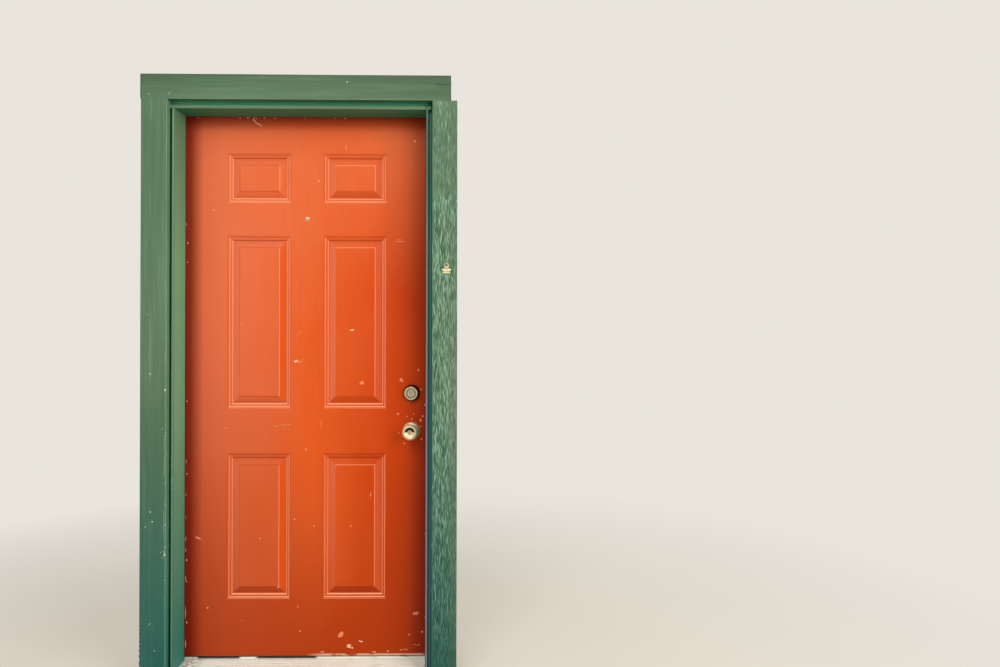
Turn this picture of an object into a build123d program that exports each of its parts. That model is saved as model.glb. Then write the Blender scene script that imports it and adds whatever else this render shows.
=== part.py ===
from build123d import *
from functools import cache
from math import cos, radians, sin
import os

# Exterior door set: a six-panel pressed-steel slab hung in a rebated timber frame.
# Millimetres. X runs along the wall with 0 at the middle of the opening, Y runs into the house
# with 0 at the wall's outer face, and Z is up with 0 at the underside of the sill.

# Slab
slab_width = 914.0
slab_height = 2004.0
slab_thickness = 44.5
skin_thickness = 0.8
hem_depth = 9.0
stile_width = 38.0
rail_height = 38.0
glue_line = 0.1
edge_gap = 3.0
floor_gap = 6.0

# Raised panels, from the bottom rail up
panel_width = 236.0
panel_spacing = 353.5
bottom_rail = 210.0
bottom_panel = 540.0
lock_rail = 165.0
middle_panel = 641.0
upper_rail = 120.0
top_panel = 185.0
moulding_width = 19.0
moulding_depth = 8.0
step_width = 9.0
step_depth = 3.4
step_flat = 1.5
quirk_width = 3.5
bevel_width = 23.5
field_depth = 1.5

# Frame
jamb_depth = 139.7
jamb_thickness = 31.75
rebate = 12.7
seal_gap = 6.0
lip_width = 7.5
head_lip = 11.5
groove_depth = 14.0
housing = 6.0
kerf_width = 3.0
kerf_depth = 10.0
eased_edge = 1.2

# Casings
casing_thickness = 23.0
hinge_casing_width = 92.0
strike_casing_width = 89.0
head_casing_height = 89.0
head_casing_overhang = 1.7
head_casing_setback = 21.8
hinge_reveal = 15.0
strike_reveal = 24.0
head_reveal = 25.0
casing_ease = 1.5
casing_nail_length = 50.0
casing_nail_radius = 1.1
casing_nail_head_radius = 1.7
casing_nail_head_thickness = 1.6
casing_nail_set = 1.0
casing_nail_edge = 3.0
casing_nail_end = 150.0
head_nail_end = 57.3

# Sill
sill_height = 38.0
sill_nose = 27.0
sill_front_height = 17.0
nose_lift = 4.0
sill_deck_height = 33.0
deck_thickness = 3.0
deck_rib = 1.2
deck_rib_pitch = 11.0
cap_width = 36.0
cap_rebate = 11.0

# Hinges
hinge_height = 101.6
hinge_reach = 44.5
hinge_throw = 7.2
leaf_thickness = 2.3
leaf_corner = 15.9
knuckle_radius = 6.6
hinge_pin_radius = 3.5
pin_clearance = 0.06
knuckle_gap = 0.4
top_hinge_drop = 229.0
bottom_hinge_rise = 330.0
screw_radius = 2.1
screw_head_radius = 4.3
screw_head_depth = 2.2
screw_length = 18.0
screw_clearance = 0.1

# Locks
backset = 70.0
knob_height = 833.0
lock_spacing = 139.7
cross_bore_radius = 27.0
edge_bore_radius = 12.7
faceplate_width = 25.4
faceplate_height = 57.2
faceplate_thickness = 2.4
latch_throw = 12.7
latch_radius = 8.2
latch_half_width = 6.2
deadbolt_throw = 25.4
deadbolt_radius = 10.5
deadbolt_half_width = 6.5
bolt_clearance = 0.3
case_wall = 1.4
rose_radius = 32.5
rose_height = 10.0
neck_radius = 10.8
knob_radius = 29.5
knob_projection = 60.0
knob_face_radius = 19.0
knob_dish = 7.0
plug_set = 3.0
spindle_radius = 5.0
spindle_bore = 3.2
cam_reach = 14.0
cam_half_width = 3.0
plate_thickness = 3.0
plug_radius = 6.3
tail_bar_width = 4.6
tail_bar_thickness = 2.2
collar_radius = 31.0
collar_face_radius = 23.5
collar_projection = 22.0
cylinder_radius = 16.5
inner_collar_height = 9.0
deadbolt_screw_x = 9.5
deadbolt_screw_z = -9.5
lock_screw_radius = 1.9
post_inset = 5.5
knob_turn = 60.0
arm_angle = 45.0
arm_pin_radius = 2.0
lock_block_width = 109.0
lock_block_height = 330.0
strike_height = 57.2
strike_thickness = 1.6
lip_radius = 8.0
latch_pocket_depth = 13.5

# Peephole
peephole_height = 1617.5
peephole_radius = 6.0
peephole_flange = 8.0
sleeve_wall = 1.0
sleeve_flange = 11.0

# Paper clip hung on the strike-side casing
clip_inset = 52.7
clip_height = 1418.8
clip_width = 32.0
clip_drop = 13.4
clip_rise = 25.0
clip_sheet = 0.9
clip_barrel_radius = 3.7
clip_pin_radius = 1.2
clip_roll_radius = 2.7
clip_tab_width = 15.4
clip_hole_radius = 2.6
clip_hole_rise = 17.2
clip_tilt = 35.0
nail_radius = 1.3

# Places that follow from the sizes above
face_out = jamb_depth - slab_thickness
face_in = jamb_depth
slab_edge = slab_width / 2
slab_bottom = sill_height + floor_gap
slab_top = slab_bottom + slab_height
slab_middle = (face_out + face_in) / 2
rebate_face = slab_edge + edge_gap
stop_face = rebate_face - rebate
jamb_back = stop_face + jamb_thickness
stop_end = face_out - seal_gap
head_rebate = slab_top + edge_gap
soffit = head_rebate - rebate
frame_top = soffit + jamb_thickness
leg_top = soffit + head_reveal
hinge_casing_edge = stop_face + hinge_reveal
strike_casing_edge = stop_face + strike_reveal
head_casing_left = hinge_casing_edge + hinge_casing_width + head_casing_overhang
head_casing_right = strike_casing_edge + strike_casing_width - head_casing_setback
pivot_x = -(slab_edge + edge_gap / 2)
pivot_y = face_in + hinge_throw
hinge_heights = {
    "upper": slab_top - top_hinge_drop,
    "middle": (slab_top - top_hinge_drop + slab_bottom + bottom_hinge_rise) / 2,
    "lower": slab_bottom + bottom_hinge_rise,
}
lock_x = slab_edge - backset
knob_z = slab_bottom + knob_height
deadbolt_z = knob_z + lock_spacing
plate_y = slab_middle - plate_thickness / 2
panel_rows = [
    (bottom_rail, bottom_panel),
    (bottom_rail + bottom_panel + lock_rail, middle_panel),
    (bottom_rail + bottom_panel + lock_rail + middle_panel + upper_rail, top_panel),
]
cap_front = slab_middle - cap_width / 2
clip_x = strike_casing_edge + clip_inset
clip_z = slab_bottom + clip_height
clip_face = -casing_thickness
clip_y = clip_face - clip_barrel_radius


def block(x0, x1, y0, y1, z0, z1):
    """A box between two corners."""
    box = Box(abs(x1 - x0), abs(y1 - y0), abs(z1 - z0))
    return box.moved(Location(((x0 + x1) / 2, (y0 + y1) / 2, (z0 + z1) / 2)))


def rod_x(x0, x1, y, z, radius):
    """A round bar along X."""
    return Location(((x0 + x1) / 2, y, z), (0, 90, 0)) * Cylinder(radius, abs(x1 - x0))


def rod_y(x, y0, y1, z, radius):
    """A round bar along Y."""
    return Location((x, (y0 + y1) / 2, z), (90, 0, 0)) * Cylinder(radius, abs(y1 - y0))


def rod_z(x, y, z0, z1, radius):
    """A round bar along Z."""
    return Location((x, y, (z0 + z1) / 2)) * Cylinder(radius, abs(z1 - z0))


def prism_z(points, z0, z1, eased=(), ease=0.0):
    """An upright extrusion of a plan outline, with the corners at the given indices rounded."""
    face = make_face(Polyline(*points, close=True))
    if eased:
        corners = [v for v in face.vertices() if any(near(v, points[i]) for i in eased)]
        face = fillet(corners, ease)
    return extrude(face, amount=z1 - z0).moved(Location((0, 0, z0)))


def near(vertex, point):
    """Whether a vertex of an outline lies on a point of it."""
    return abs(vertex.X - point[0]) + abs(vertex.Y - point[1]) < 1e-4


def prism_x(points, x0, x1):
    """An extrusion along X of an outline given as (y, z) points."""
    face = Plane.YZ * make_face(Polyline(*points, close=True))
    return extrude(face, amount=x1 - x0).moved(Location((x0, 0, 0)))


def turned(points_and_arcs, x, y, z, outward):
    """A body turned about a line along Y.

    The half section is a closed chain of edges in (radius, distance), and distance runs from y
    towards the street where outward is -1 and into the house where it is 1.
    """
    half = make_face(points_and_arcs)
    body = revolve(half, Axis.Y, 360)
    if outward < 0:
        body = mirror(body, Plane.XZ)
    return body.moved(Location((x, y, z)))


def largest(shape):
    """The main solid of a result, without slivers left by a cut."""
    return max(shape.solids(), key=lambda s: s.volume)


# Slab skins and core


def swell(start, end):
    """A rounded shoulder that leaves its start flat and falls more and more steeply to its end."""
    middle = (start[0] + 0.55 * (end[0] - start[0]), start[1] + 0.26 * (end[1] - start[1]))
    return ThreePointArc(start, middle, end)


def moulding_profile(left, face):
    """The pressed moulding's section: two rounded steps, a flat quirk and the raised panel's bevel."""
    groove_end = moulding_width + quirk_width
    bevel_end = groove_end + bevel_width
    above = -1.0

    def at(inset, depth):
        return (left + inset, face + depth)

    outer = swell(at(0, 0), at(step_width, step_depth))
    ledge = Line(at(step_width, step_depth), at(step_width + step_flat, step_depth))
    inner = swell(at(step_width + step_flat, step_depth), at(moulding_width, moulding_depth))
    rest = Polyline(
        at(moulding_width, moulding_depth),
        at(groove_end, moulding_depth),
        at(bevel_end, field_depth),
        at(bevel_end, above),
        at(0, above),
        at(0, 0),
    )
    return make_face(outer + ledge + inner + rest)


@cache
def panel_pocket(height):
    """What the press pushes in around one panel, centred on the origin with its face at y = 0."""
    left = -panel_width / 2
    rim = Polyline(
        (left, 0, 0),
        (left, 0, height / 2),
        (-left, 0, height / 2),
        (-left, 0, -height / 2),
        (left, 0, -height / 2),
        (left, 0, 0),
    )
    ring = sweep(moulding_profile(left, 0), path=rim, transition=Transition.RIGHT)
    inset = moulding_width + quirk_width + 0.6 * bevel_width
    reach = -left - inset
    rise = height / 2 - inset
    return ring + block(-reach, reach, -1.0, field_depth, -rise, rise)


@cache
def pressed_block(depth, sink):
    """A block with the six pockets pressed into its face, which is sunk by sink behind y = 0."""
    body = block(-slab_edge, slab_edge, sink, sink + depth, slab_bottom, slab_top)
    for rise, height in panel_rows:
        for side in (-1, 1):
            place = (side * panel_spacing / 2, sink, slab_bottom + rise + height / 2)
            body -= panel_pocket(height).moved(Location(place))
    return body


@cache
def pressed_sheet():
    """A skin as it leaves the press, its face at y = 0, with the hems that fold round the stiles."""
    depth = moulding_depth + 4.0
    sheet = pressed_block(depth, 0.0) - pressed_block(depth + 5.0, skin_thickness)
    for side in (-1, 1):
        inside = side * (slab_edge - skin_thickness)
        sheet += block(side * slab_edge, inside, 0, hem_depth, slab_bottom, slab_top)
    return sheet


def on_face(body, inner):
    """Moves what was built at y = 0 to the street face, or mirrors it to the house face."""
    if inner:
        return mirror(body, Plane.XZ).moved(Location((0, face_in, 0)))
    return body.moved(Location((0, face_out, 0)))


def skin(inner):
    """One pressed sheet, with its holes for the fittings."""
    sheet = on_face(pressed_sheet(), inner)
    return largest(sheet - lock_bores() - hinge_mortises() - faceplate_mortises())


@cache
def lock_bores():
    """Cross bores for both locks, their edge bores and the peephole's hole."""
    far = 10.0
    bores = rod_y(0, face_out - far, face_in + far, slab_bottom + peephole_height, sleeve_radius())
    for z in (knob_z, deadbolt_z):
        bores += rod_y(lock_x, face_out - far, face_in + far, z, cross_bore_radius)
        bores += rod_x(lock_x, slab_edge + far, slab_middle, z, edge_bore_radius)
    return bores


def sleeve_radius():
    """Outside of the peephole's inner sleeve, which sets the hole through the slab."""
    return peephole_radius + sleeve_wall + 2 * glue_line


@cache
def hinge_mortises():
    """Recesses for the three leaves in the slab's hinge edge."""
    cuts = None
    for z in hinge_heights.values():
        cut = leaf_blank(-slab_edge - 1.0, leaf_thickness + 1.0, z)
        cuts = cut if cuts is None else cuts + cut
    return cuts


@cache
def faceplate_mortises():
    """Recesses for both faceplates in the slab's lock edge."""
    cuts = None
    for z in (knob_z, deadbolt_z):
        cut = block(
            slab_edge - faceplate_thickness,
            slab_edge + 1.0,
            slab_middle - faceplate_width / 2,
            slab_middle + faceplate_width / 2,
            z - faceplate_height / 2,
            z + faceplate_height / 2,
        )
        cuts = cut if cuts is None else cuts + cut
    return cuts


def stile(side):
    """A timber stile, rebated at both faces for the skins' hems."""
    back = skin_thickness + glue_line
    inside = slab_edge - stile_width
    edge = slab_edge
    shy = slab_edge - back
    hem = hem_depth + glue_line
    outline = [
        (inside, face_out + back),
        (shy, face_out + back),
        (shy, face_out + hem),
        (edge, face_out + hem),
        (edge, face_in - hem),
        (shy, face_in - hem),
        (shy, face_in - back),
        (inside, face_in - back),
    ]
    if side < 0:
        outline = [(-x, y) for x, y in outline]
    return prism_z(outline, slab_bottom, slab_top)


def hinge_stile():
    body = stile(-1) - hinge_mortises()
    for z in hinge_heights.values():
        for screw in leaf_screws(z, 1, screw_clearance):
            body -= screw
    return largest(body)


def lock_stile():
    body = stile(1) - faceplate_mortises() - lock_bores()
    for screw in faceplate_screws(screw_clearance):
        body -= screw
    return largest(body)


def slab_rail(z0):
    """A timber rail between the stiles, at the head or the foot of the slab."""
    back = skin_thickness + glue_line
    inside = slab_edge - stile_width
    return block(-inside, inside, face_out + back, face_in - back, z0, z0 + rail_height)


def lock_block_box(clearance=0.0):
    back = skin_thickness + glue_line
    right = slab_edge - stile_width
    middle = (knob_z + deadbolt_z) / 2
    return block(
        right - lock_block_width - clearance,
        right,
        face_out + back,
        face_in - back,
        middle - lock_block_height / 2 - clearance,
        middle + lock_block_height / 2 + clearance,
    )


def lock_block():
    return largest(lock_block_box() - lock_bores())


def foam_core():
    """Foam that fills the slab and follows the pressed panels of both skins."""
    back = skin_thickness + glue_line
    inside = slab_edge - stile_width
    depth = slab_thickness / 2 - back
    outer = on_face(pressed_block(depth, back), False)
    inner = on_face(pressed_block(depth, back), True)
    window = block(
        -inside,
        inside,
        face_out - 1,
        face_in + 1,
        slab_bottom + rail_height,
        slab_top - rail_height,
    )
    body = (outer + inner) & window
    return largest(body - lock_block_box() - lock_bores())


def door_sweep():
    """A vinyl sweep stapled under the slab, with three fins that stop just short of the sill cap."""
    half = slab_thickness / 2 - 4.0
    base = 2.5
    fin = 1.2
    tip = sill_height + 0.3
    reach = slab_edge - 2.0
    top = slab_bottom - base
    body = block(-reach, reach, slab_middle - half, slab_middle + half, top, slab_bottom)
    for step in (-0.38, 0.0, 0.38):
        y = slab_middle + step * cap_width
        body += block(-reach, reach, y - fin / 2, y + fin / 2, tip, top)
    return body


# Frame


def jamb_outline(lip, reveal):
    """A jamb's section as (distance from the stop face, depth): lip, groove, stop and rebate."""
    groove_end = reveal + 1.0
    return [
        (0, 0),
        (0, stop_end),
        (rebate, stop_end),
        (rebate, jamb_depth),
        (jamb_thickness, jamb_depth),
        (jamb_thickness, 0),
        (groove_end, 0),
        (groove_end, groove_depth),
        (lip, groove_depth),
        (lip, 0),
    ]


def side_jamb(side, reveal):
    """A side jamb, housed for the head and cut round the sill."""
    outline = [(side * (stop_face + t), y) for t, y in jamb_outline(lip_width, reveal)]
    body = prism_z(outline, 0, frame_top, eased=(0, 1, 3), ease=eased_edge)
    kerf_middle = side * (rebate_face - rebate / 2)
    body -= block(
        kerf_middle - kerf_width / 2,
        kerf_middle + kerf_width / 2,
        stop_end - kerf_depth,
        stop_end + 1,
        0,
        frame_top,
    )
    return body - head_envelope() - sill_envelope()


def head_envelope():
    """The head jamb's outer form, which the side jambs are housed for."""
    reach = rebate_face + housing
    points = [(0, soffit), (stop_end, soffit), (stop_end, head_rebate), (jamb_depth, head_rebate)]
    points += [(jamb_depth, frame_top + 1), (0, frame_top + 1)]
    return prism_x(points, -reach, reach)


def edge_glued(body):
    """A jamb as the two strips it is glued up from, a stop strip and a thinner rebate strip."""
    return list(largest(body).split(Plane.XZ.offset(-stop_end), keep=Keep.BOTH))


def hinge_jamb():
    body = side_jamb(-1, hinge_reveal)
    for z in hinge_heights.values():
        body -= leaf_blank(-rebate_face - leaf_thickness, leaf_thickness + 1.0, z)
        for screw in leaf_screws(z, -1, screw_clearance):
            body -= screw
    for nail in casing_nail_list(screw_clearance):
        body -= nail
    return edge_glued(body)


def strike_jamb():
    body = side_jamb(1, strike_reveal)
    for z, half_width, half_height, depth in strike_holes():
        body -= strike_blank(z, strike_thickness)
        body -= block(
            rebate_face,
            rebate_face + depth,
            slab_middle - half_width,
            slab_middle + half_width,
            z - half_height,
            z + half_height,
        )
    for screw in strike_screws(screw_clearance):
        body -= screw
    for nail in casing_nail_list(screw_clearance):
        body -= nail
    return edge_glued(body)


def head_jamb():
    """The head, with the same lip, groove, stop and rebate as the sides, turned level."""
    reach = rebate_face + housing
    points = [(y, soffit + t) for t, y in jamb_outline(head_lip, head_reveal)]
    body = prism_x(points, -reach, reach)
    kerf_middle = soffit + rebate / 2
    body -= block(
        -reach,
        reach,
        stop_end - kerf_depth,
        stop_end + 1,
        kerf_middle - kerf_width / 2,
        kerf_middle + kerf_width / 2,
    )
    for nail in casing_nail_list(screw_clearance):
        body -= nail
    return edge_glued(body)


def seal_outline():
    """A seal's section as (distance from the stop face, depth): a soft bulb on a barbed fin."""
    middle = rebate / 2
    fin = kerf_width / 2 - glue_line
    front = stop_end + glue_line
    back = face_out - 0.3
    half = rebate / 2 - 0.5
    root = stop_end - kerf_depth + 0.5
    barb = fin - 0.5
    return [
        (middle - barb, root),
        (middle + barb, root),
        (middle + fin, root + 3),
        (middle + barb, root + 3),
        (middle + barb, front),
        (middle + half, front),
        (middle + half, back - 2),
        (middle + half - 2, back),
        (middle - half + 2, back),
        (middle - half, back - 2),
        (middle - half, front),
        (middle - barb, front),
        (middle - barb, root + 3),
        (middle - fin, root + 3),
    ]


def side_seal(side):
    outline = [(side * (stop_face + t), y) for t, y in seal_outline()]
    return prism_z(outline, sill_deck_height + 1, soffit - 0.5)


def head_seal():
    points = [(y, soffit + t) for t, y in seal_outline()]
    return prism_x(points, -stop_face - 0.5, stop_face + 0.5)


# Casings


def eased_board(x0, x1, z0, z1):
    """A casing board against the wall, its street-side edges eased."""
    board = block(x0, x1, -casing_thickness, 0, z0, z1)
    front = board.faces().sort_by(Axis.Y)[0]
    return fillet(front.edges(), casing_ease)


def hinge_side_casing():
    outer = hinge_casing_edge + hinge_casing_width
    return nailed(eased_board(-outer, -hinge_casing_edge, 0, leg_top))


def strike_side_casing():
    outer = strike_casing_edge + strike_casing_width
    body = nailed(eased_board(strike_casing_edge, outer, 0, leg_top))
    return body - clip_nail(screw_clearance)


def head_casing():
    top = leg_top + head_casing_height
    return nailed(eased_board(-head_casing_left, head_casing_right, leg_top, top))


def nailed(body):
    """The board with its nail holes."""
    for nail in casing_nail_list(screw_clearance):
        body -= nail
    return largest(body)


def casing_nail_spots():
    """Where the nails go in: up both side casings and along the head casing."""
    spots = []
    for side in (-1, 1):
        x = side * (jamb_back - casing_nail_edge)
        for step in range(5):
            spots.append((x, casing_nail_end + step * (leg_top - 2 * casing_nail_end) / 4))
    reach = stop_face - head_nail_end
    for step in range(4):
        spots.append((-reach + step * 2 * reach / 3, frame_top - casing_nail_edge))
    return spots


def casing_nail_list(clearance=0.0):
    """Finish nails through each casing into the jamb edge behind it, their heads set just under."""
    front = -casing_thickness
    top = front + casing_nail_set
    neck = top + casing_nail_head_thickness
    nails = []
    for x, z in casing_nail_spots():
        body = rod_y(x, top, top + casing_nail_length, z, casing_nail_radius + clearance)
        body += rod_y(x, top, neck, z, casing_nail_head_radius + clearance)
        if clearance:
            body += rod_y(x, front - 1, top + 1, z, casing_nail_head_radius + clearance)
        nails.append(body)
    return nails


# Sill


def deck_slope(y):
    """Height of the sill deck's plain surface at a depth y."""
    share = (y + sill_nose) / (cap_front + sill_nose)
    return sill_front_height + share * (sill_deck_height - sill_front_height)


def sill_envelope():
    """The space that the sill takes between the side jambs."""
    front = -sill_nose - 5
    points = [(front, -1), (jamb_depth + 1, -1), (jamb_depth + 1, sill_height)]
    points += [(cap_front, sill_height), (cap_front, deck_slope(cap_front) + deck_rib)]
    points += [(front, deck_slope(front) + deck_rib)]
    return prism_x(points, -rebate_face, rebate_face)


def sill_deck():
    """The ribbed deck with its turned-down nose and a foot behind the cap's front edge."""
    top = deck_slope
    t = deck_thickness
    rib_width = deck_rib_pitch / 2
    flank = 0.8
    points = [(-sill_nose, nose_lift), (-sill_nose, top(-sill_nose))]
    y = -sill_nose + deck_rib_pitch
    while y + rib_width < cap_front - deck_rib_pitch / 2:
        end = y + rib_width
        points += [(y, top(y)), (y + flank, top(y + flank) + deck_rib)]
        points += [(end - flank, top(end - flank) + deck_rib), (end, top(end))]
        y += deck_rib_pitch
    points += [(cap_front, top(cap_front)), (cap_front, top(cap_front) - t)]
    points += [(-sill_nose + t, top(-sill_nose + t) - t), (-sill_nose + t, nose_lift)]
    return prism_x(points, -rebate_face, rebate_face)


def sill_base():
    """The solid timber wedge under the deck and the cap, drilled for the cap's screws."""
    t = deck_thickness
    front = -sill_nose + t
    seat = sill_height - cap_rebate
    points = [(front, 0), (jamb_depth, 0), (jamb_depth, seat), (cap_front, seat)]
    points += [(cap_front, deck_slope(cap_front) - t), (front, deck_slope(front) - t)]
    body = prism_x(points, -rebate_face, rebate_face)
    for screw in cap_screw_list(screw_clearance):
        body -= screw
    return largest(body)


def threshold_cap():
    """The cap that the sweep closes on, with its top edges rounded over."""
    back = cap_front + cap_width
    seat = sill_height - cap_rebate
    body = block(-rebate_face, rebate_face, cap_front, back, seat, sill_height)
    top = body.faces().sort_by(Axis.Z)[-1]
    long_edges = top.edges().filter_by(Axis.X)
    body = fillet(long_edges, 2.5)
    for screw in cap_screw_list(screw_clearance):
        body -= screw
    return largest(body)


def cap_screw_list(clearance=0.0):
    """Four adjusting screws down through the cap into the sill."""
    screws = []
    y = cap_front + cap_width / 2
    for step in (-1.5, -0.5, 0.5, 1.5):
        x = step * slab_width / 4.4
        top = sill_height - 2.0
        body = rod_z(x, y, top - 24, top, screw_radius + clearance)
        body += rod_z(x, y, top - 3, top, screw_head_radius + clearance)
        if clearance:
            body += rod_z(x, y, top, sill_height + 1, screw_head_radius + clearance)
        screws.append(body)
    return screws


# Hinges


def leaf_blank(x0, thickness, z, reach_in=0.0):
    """A leaf's plate from its rounded far edge to the slab's inner face, starting at x0."""
    y0 = pivot_y - hinge_reach
    y1 = face_in + 1.0 + reach_in
    outline = Rectangle(y1 - y0, hinge_height)
    corners = outline.vertices().group_by(Axis.X)[0]
    outline = fillet(corners, leaf_corner)
    plate = extrude(outline, amount=thickness)
    turned_plate = Plane(origin=(x0, (y0 + y1) / 2, z), x_dir=(0, 1, 0), z_dir=(1, 0, 0)) * plate
    return turned_plate


def knuckle_spans(z, kind):
    """Heights of a leaf's knuckles: three on the frame's leaf and the two between on the door's."""
    step = hinge_height / 5
    low = z - hinge_height / 2
    kept = (0, 2, 4) if kind == "frame" else (1, 3)
    return [(low + i * step, low + (i + 1) * step) for i in kept]


def hinge_leaf(z, kind):
    """A butt leaf: mortised plate, rolled knuckles with running gaps, and countersunk holes."""
    way = 1 if kind == "door" else -1
    x0 = -slab_edge if kind == "door" else -rebate_face - leaf_thickness
    body = leaf_blank(x0, leaf_thickness, z, hinge_throw - 1.0 - 4.2)
    other = "frame" if kind == "door" else "door"
    clear = knuckle_radius + 0.5
    for z0, z1 in knuckle_spans(z, other):
        z0 = z0 - 1 if z0 < z - hinge_height / 2 + 1 else z0 - knuckle_gap / 2
        z1 = z1 + 1 if z1 > z + hinge_height / 2 - 1 else z1 + knuckle_gap / 2
        body -= block(pivot_x - 20, pivot_x + 20, pivot_y - clear, pivot_y + clear, z0, z1)
    for z0, z1 in knuckle_spans(z, kind):
        body += rod_z(pivot_x, pivot_y, z0 + knuckle_gap / 2, z1 - knuckle_gap / 2, knuckle_radius)
    body -= rod_z(pivot_x, pivot_y, z - hinge_height, z + hinge_height, hinge_pin_radius + pin_clearance)
    for screw in leaf_screws(z, way, screw_clearance):
        body -= screw
    return largest(body)


def hinge_pin(z):
    """A loose pin with a button tip above the barrel and a plain tip below."""
    half = hinge_height / 2
    body = rod_z(pivot_x, pivot_y, z - half, z + half, hinge_pin_radius)
    button = Location((pivot_x, pivot_y, z + half + 1.5)) * Cylinder(knuckle_radius - 0.6, 3.0)
    button = fillet(button.edges().sort_by(Axis.Z)[-1], 2.0)
    tip = Location((pivot_x, pivot_y, z - half - 1.0)) * Cylinder(knuckle_radius - 1.4, 2.0)
    return body + button + tip


def leaf_screws(z, way, clearance=0.0):
    """Four countersunk screws of one leaf, driven into the slab (way 1) or the jamb (way -1)."""
    surface = -slab_edge if way > 0 else -rebate_face
    spots = [(-34.0, 38.0), (-22.0, 12.5), (-34.0, -12.5), (-22.0, -38.0)]
    screws = []
    for dy, dz in spots:
        screws.append(flat_screw(surface, pivot_y + dy, z + dz, way, clearance))
    return screws


def flat_screw(x, y, z, way, clearance=0.0):
    """A flat-head screw along X with its head flush at x."""
    shank = rod_x(x + way * 0.5, x + way * screw_length, y, z, screw_radius + clearance)
    big = screw_head_radius + clearance
    small = screw_radius + clearance
    head = Cone(big, small, screw_head_depth)
    turn = 90 if way > 0 else -90
    head = Location((x + way * screw_head_depth / 2, y, z), (0, turn, 0)) * head
    if clearance:
        head += rod_x(x - way * 0.6, x, y, z, big)
    return head + shank


# Knob set


def faceplate(z):
    """The plate let into the slab's edge, with its corners rounded and two screw holes."""
    sketch = RectangleRounded(faceplate_width, faceplate_height, 6.0)
    plate = extrude(sketch, amount=faceplate_thickness - 0.05)
    back = slab_edge - faceplate_thickness + 0.05
    return Plane(origin=(back, slab_middle, z), x_dir=(0, 1, 0), z_dir=(1, 0, 0)) * plate


def faceplate_screw_rise():
    return faceplate_height / 2 - 7.5


def faceplate_screws(clearance=0.0):
    screws = []
    for z in (knob_z, deadbolt_z):
        for way in (-1, 1):
            screw_z = z + way * faceplate_screw_rise()
            screws.append(flat_screw(slab_edge, slab_middle, screw_z, -1, clearance))
    return screws


def bolt_bar(x0, x1, z, radius, half_width):
    """A bolt's bar: a round with two flats."""
    bar = rod_x(x0, x1, slab_middle, z, radius)
    y0 = slab_middle - half_width
    return bar & block(x0, x1, y0, y0 + 2 * half_width, z - radius, z + radius)


def bolt_case(z, radius, half_width, left):
    """A faceplate with its tubular case, bored for the bolt."""
    right = slab_edge - faceplate_thickness + 0.05
    body = faceplate(z)
    bore = radius + bolt_clearance
    body += rod_x(left, right, slab_middle, z, bore + case_wall)
    body -= rod_x(left - 1, right - 1.0, slab_middle, z, bore)
    body -= bolt_bar(right - 2, slab_edge + 1, z, bore, half_width + bolt_clearance)
    for screw in faceplate_screws(screw_clearance):
        body -= screw
    return largest(body)


def latch_case():
    return bolt_case(knob_z, latch_radius, latch_half_width, lock_x + 24.0)


def latch_bolt():
    """The sprung latch: bevelled nose, rod, and the retractor frame round the spindle's cam.

    It is laid out shot, and then drawn back as far as the turned knob draws it.
    """
    tip = slab_edge + latch_throw
    nose_back = slab_edge - 17.0
    nose = bolt_bar(nose_back, tip, knob_z, latch_radius, latch_half_width)
    flat = slab_middle + latch_half_width
    bevel = [
        (tip + 1, flat - 2.0),
        (tip + 1, slab_middle - latch_half_width - 1),
        (slab_edge + 1.0, slab_middle - latch_half_width - 1),
    ]
    nose -= prism_z(bevel, knob_z - latch_radius - 1, knob_z + latch_radius + 1)
    wall = cam_half_width + 0.6
    back = lock_x - wall - 3.4
    front = lock_x + spindle_radius + latch_throw + 3.0
    low = knob_z - cam_reach - 2.4
    frame = block(back, front, plate_y, plate_y + plate_thickness, low, knob_z + spindle_radius + 4.0)
    window_end = lock_x + spindle_radius + latch_throw + 0.5
    y0 = plate_y - 1
    y1 = plate_y + plate_thickness + 1
    frame -= block(lock_x - wall, window_end, y0, y1, knob_z - cam_reach - 0.7, knob_z + cam_half_width)
    slot = spindle_radius + 0.6
    frame -= block(lock_x - slot, window_end, y0, y1, knob_z - slot, knob_z + slot)
    rod = rod_x(front - 2.0, nose_back + 1, slab_middle, knob_z, 3.0)
    return (nose + rod + frame).moved(Location((-latch_throw, 0, 0)))


def latch_strike():
    """The latch's strike, its lip curled round the jamb's inner edge."""
    plate = strike_blank(knob_z, strike_thickness - 0.05)
    half = latch_half_width + 1.2
    tall = latch_radius + 1.5
    centre = (rebate_face + lip_radius, face_in + 1)
    outer = CenterArc(centre, lip_radius, 180, -62)
    inner = CenterArc(centre, lip_radius - strike_thickness, 180, -62)
    curl = make_face(outer + inner + Line(outer @ 0, inner @ 0) + Line(outer @ 1, inner @ 1))
    curl = extrude(curl, amount=2 * tall + 8).moved(Location((0, 0, knob_z - tall - 4)))
    bridge = block(
        rebate_face,
        rebate_face + strike_thickness,
        face_in - 1,
        face_in + 1,
        knob_z - tall - 4,
        knob_z + tall + 4,
    )
    body = plate + bridge + curl
    y0 = slab_middle - half
    z0 = knob_z - tall
    body -= block(rebate_face - 1, rebate_face + 3, y0, y0 + 2 * half, z0, z0 + 2 * tall)
    for screw in strike_screws(screw_clearance):
        body -= screw
    return largest(body)


def deadbolt_strike():
    body = strike_blank(deadbolt_z, strike_thickness - 0.05)
    half = deadbolt_half_width + 1.2
    tall = deadbolt_radius + 1.5
    y0 = slab_middle - half
    z0 = deadbolt_z - tall
    body -= block(rebate_face - 1, rebate_face + 3, y0, y0 + 2 * half, z0, z0 + 2 * tall)
    for screw in strike_screws(screw_clearance):
        body -= screw
    return largest(body)


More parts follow.
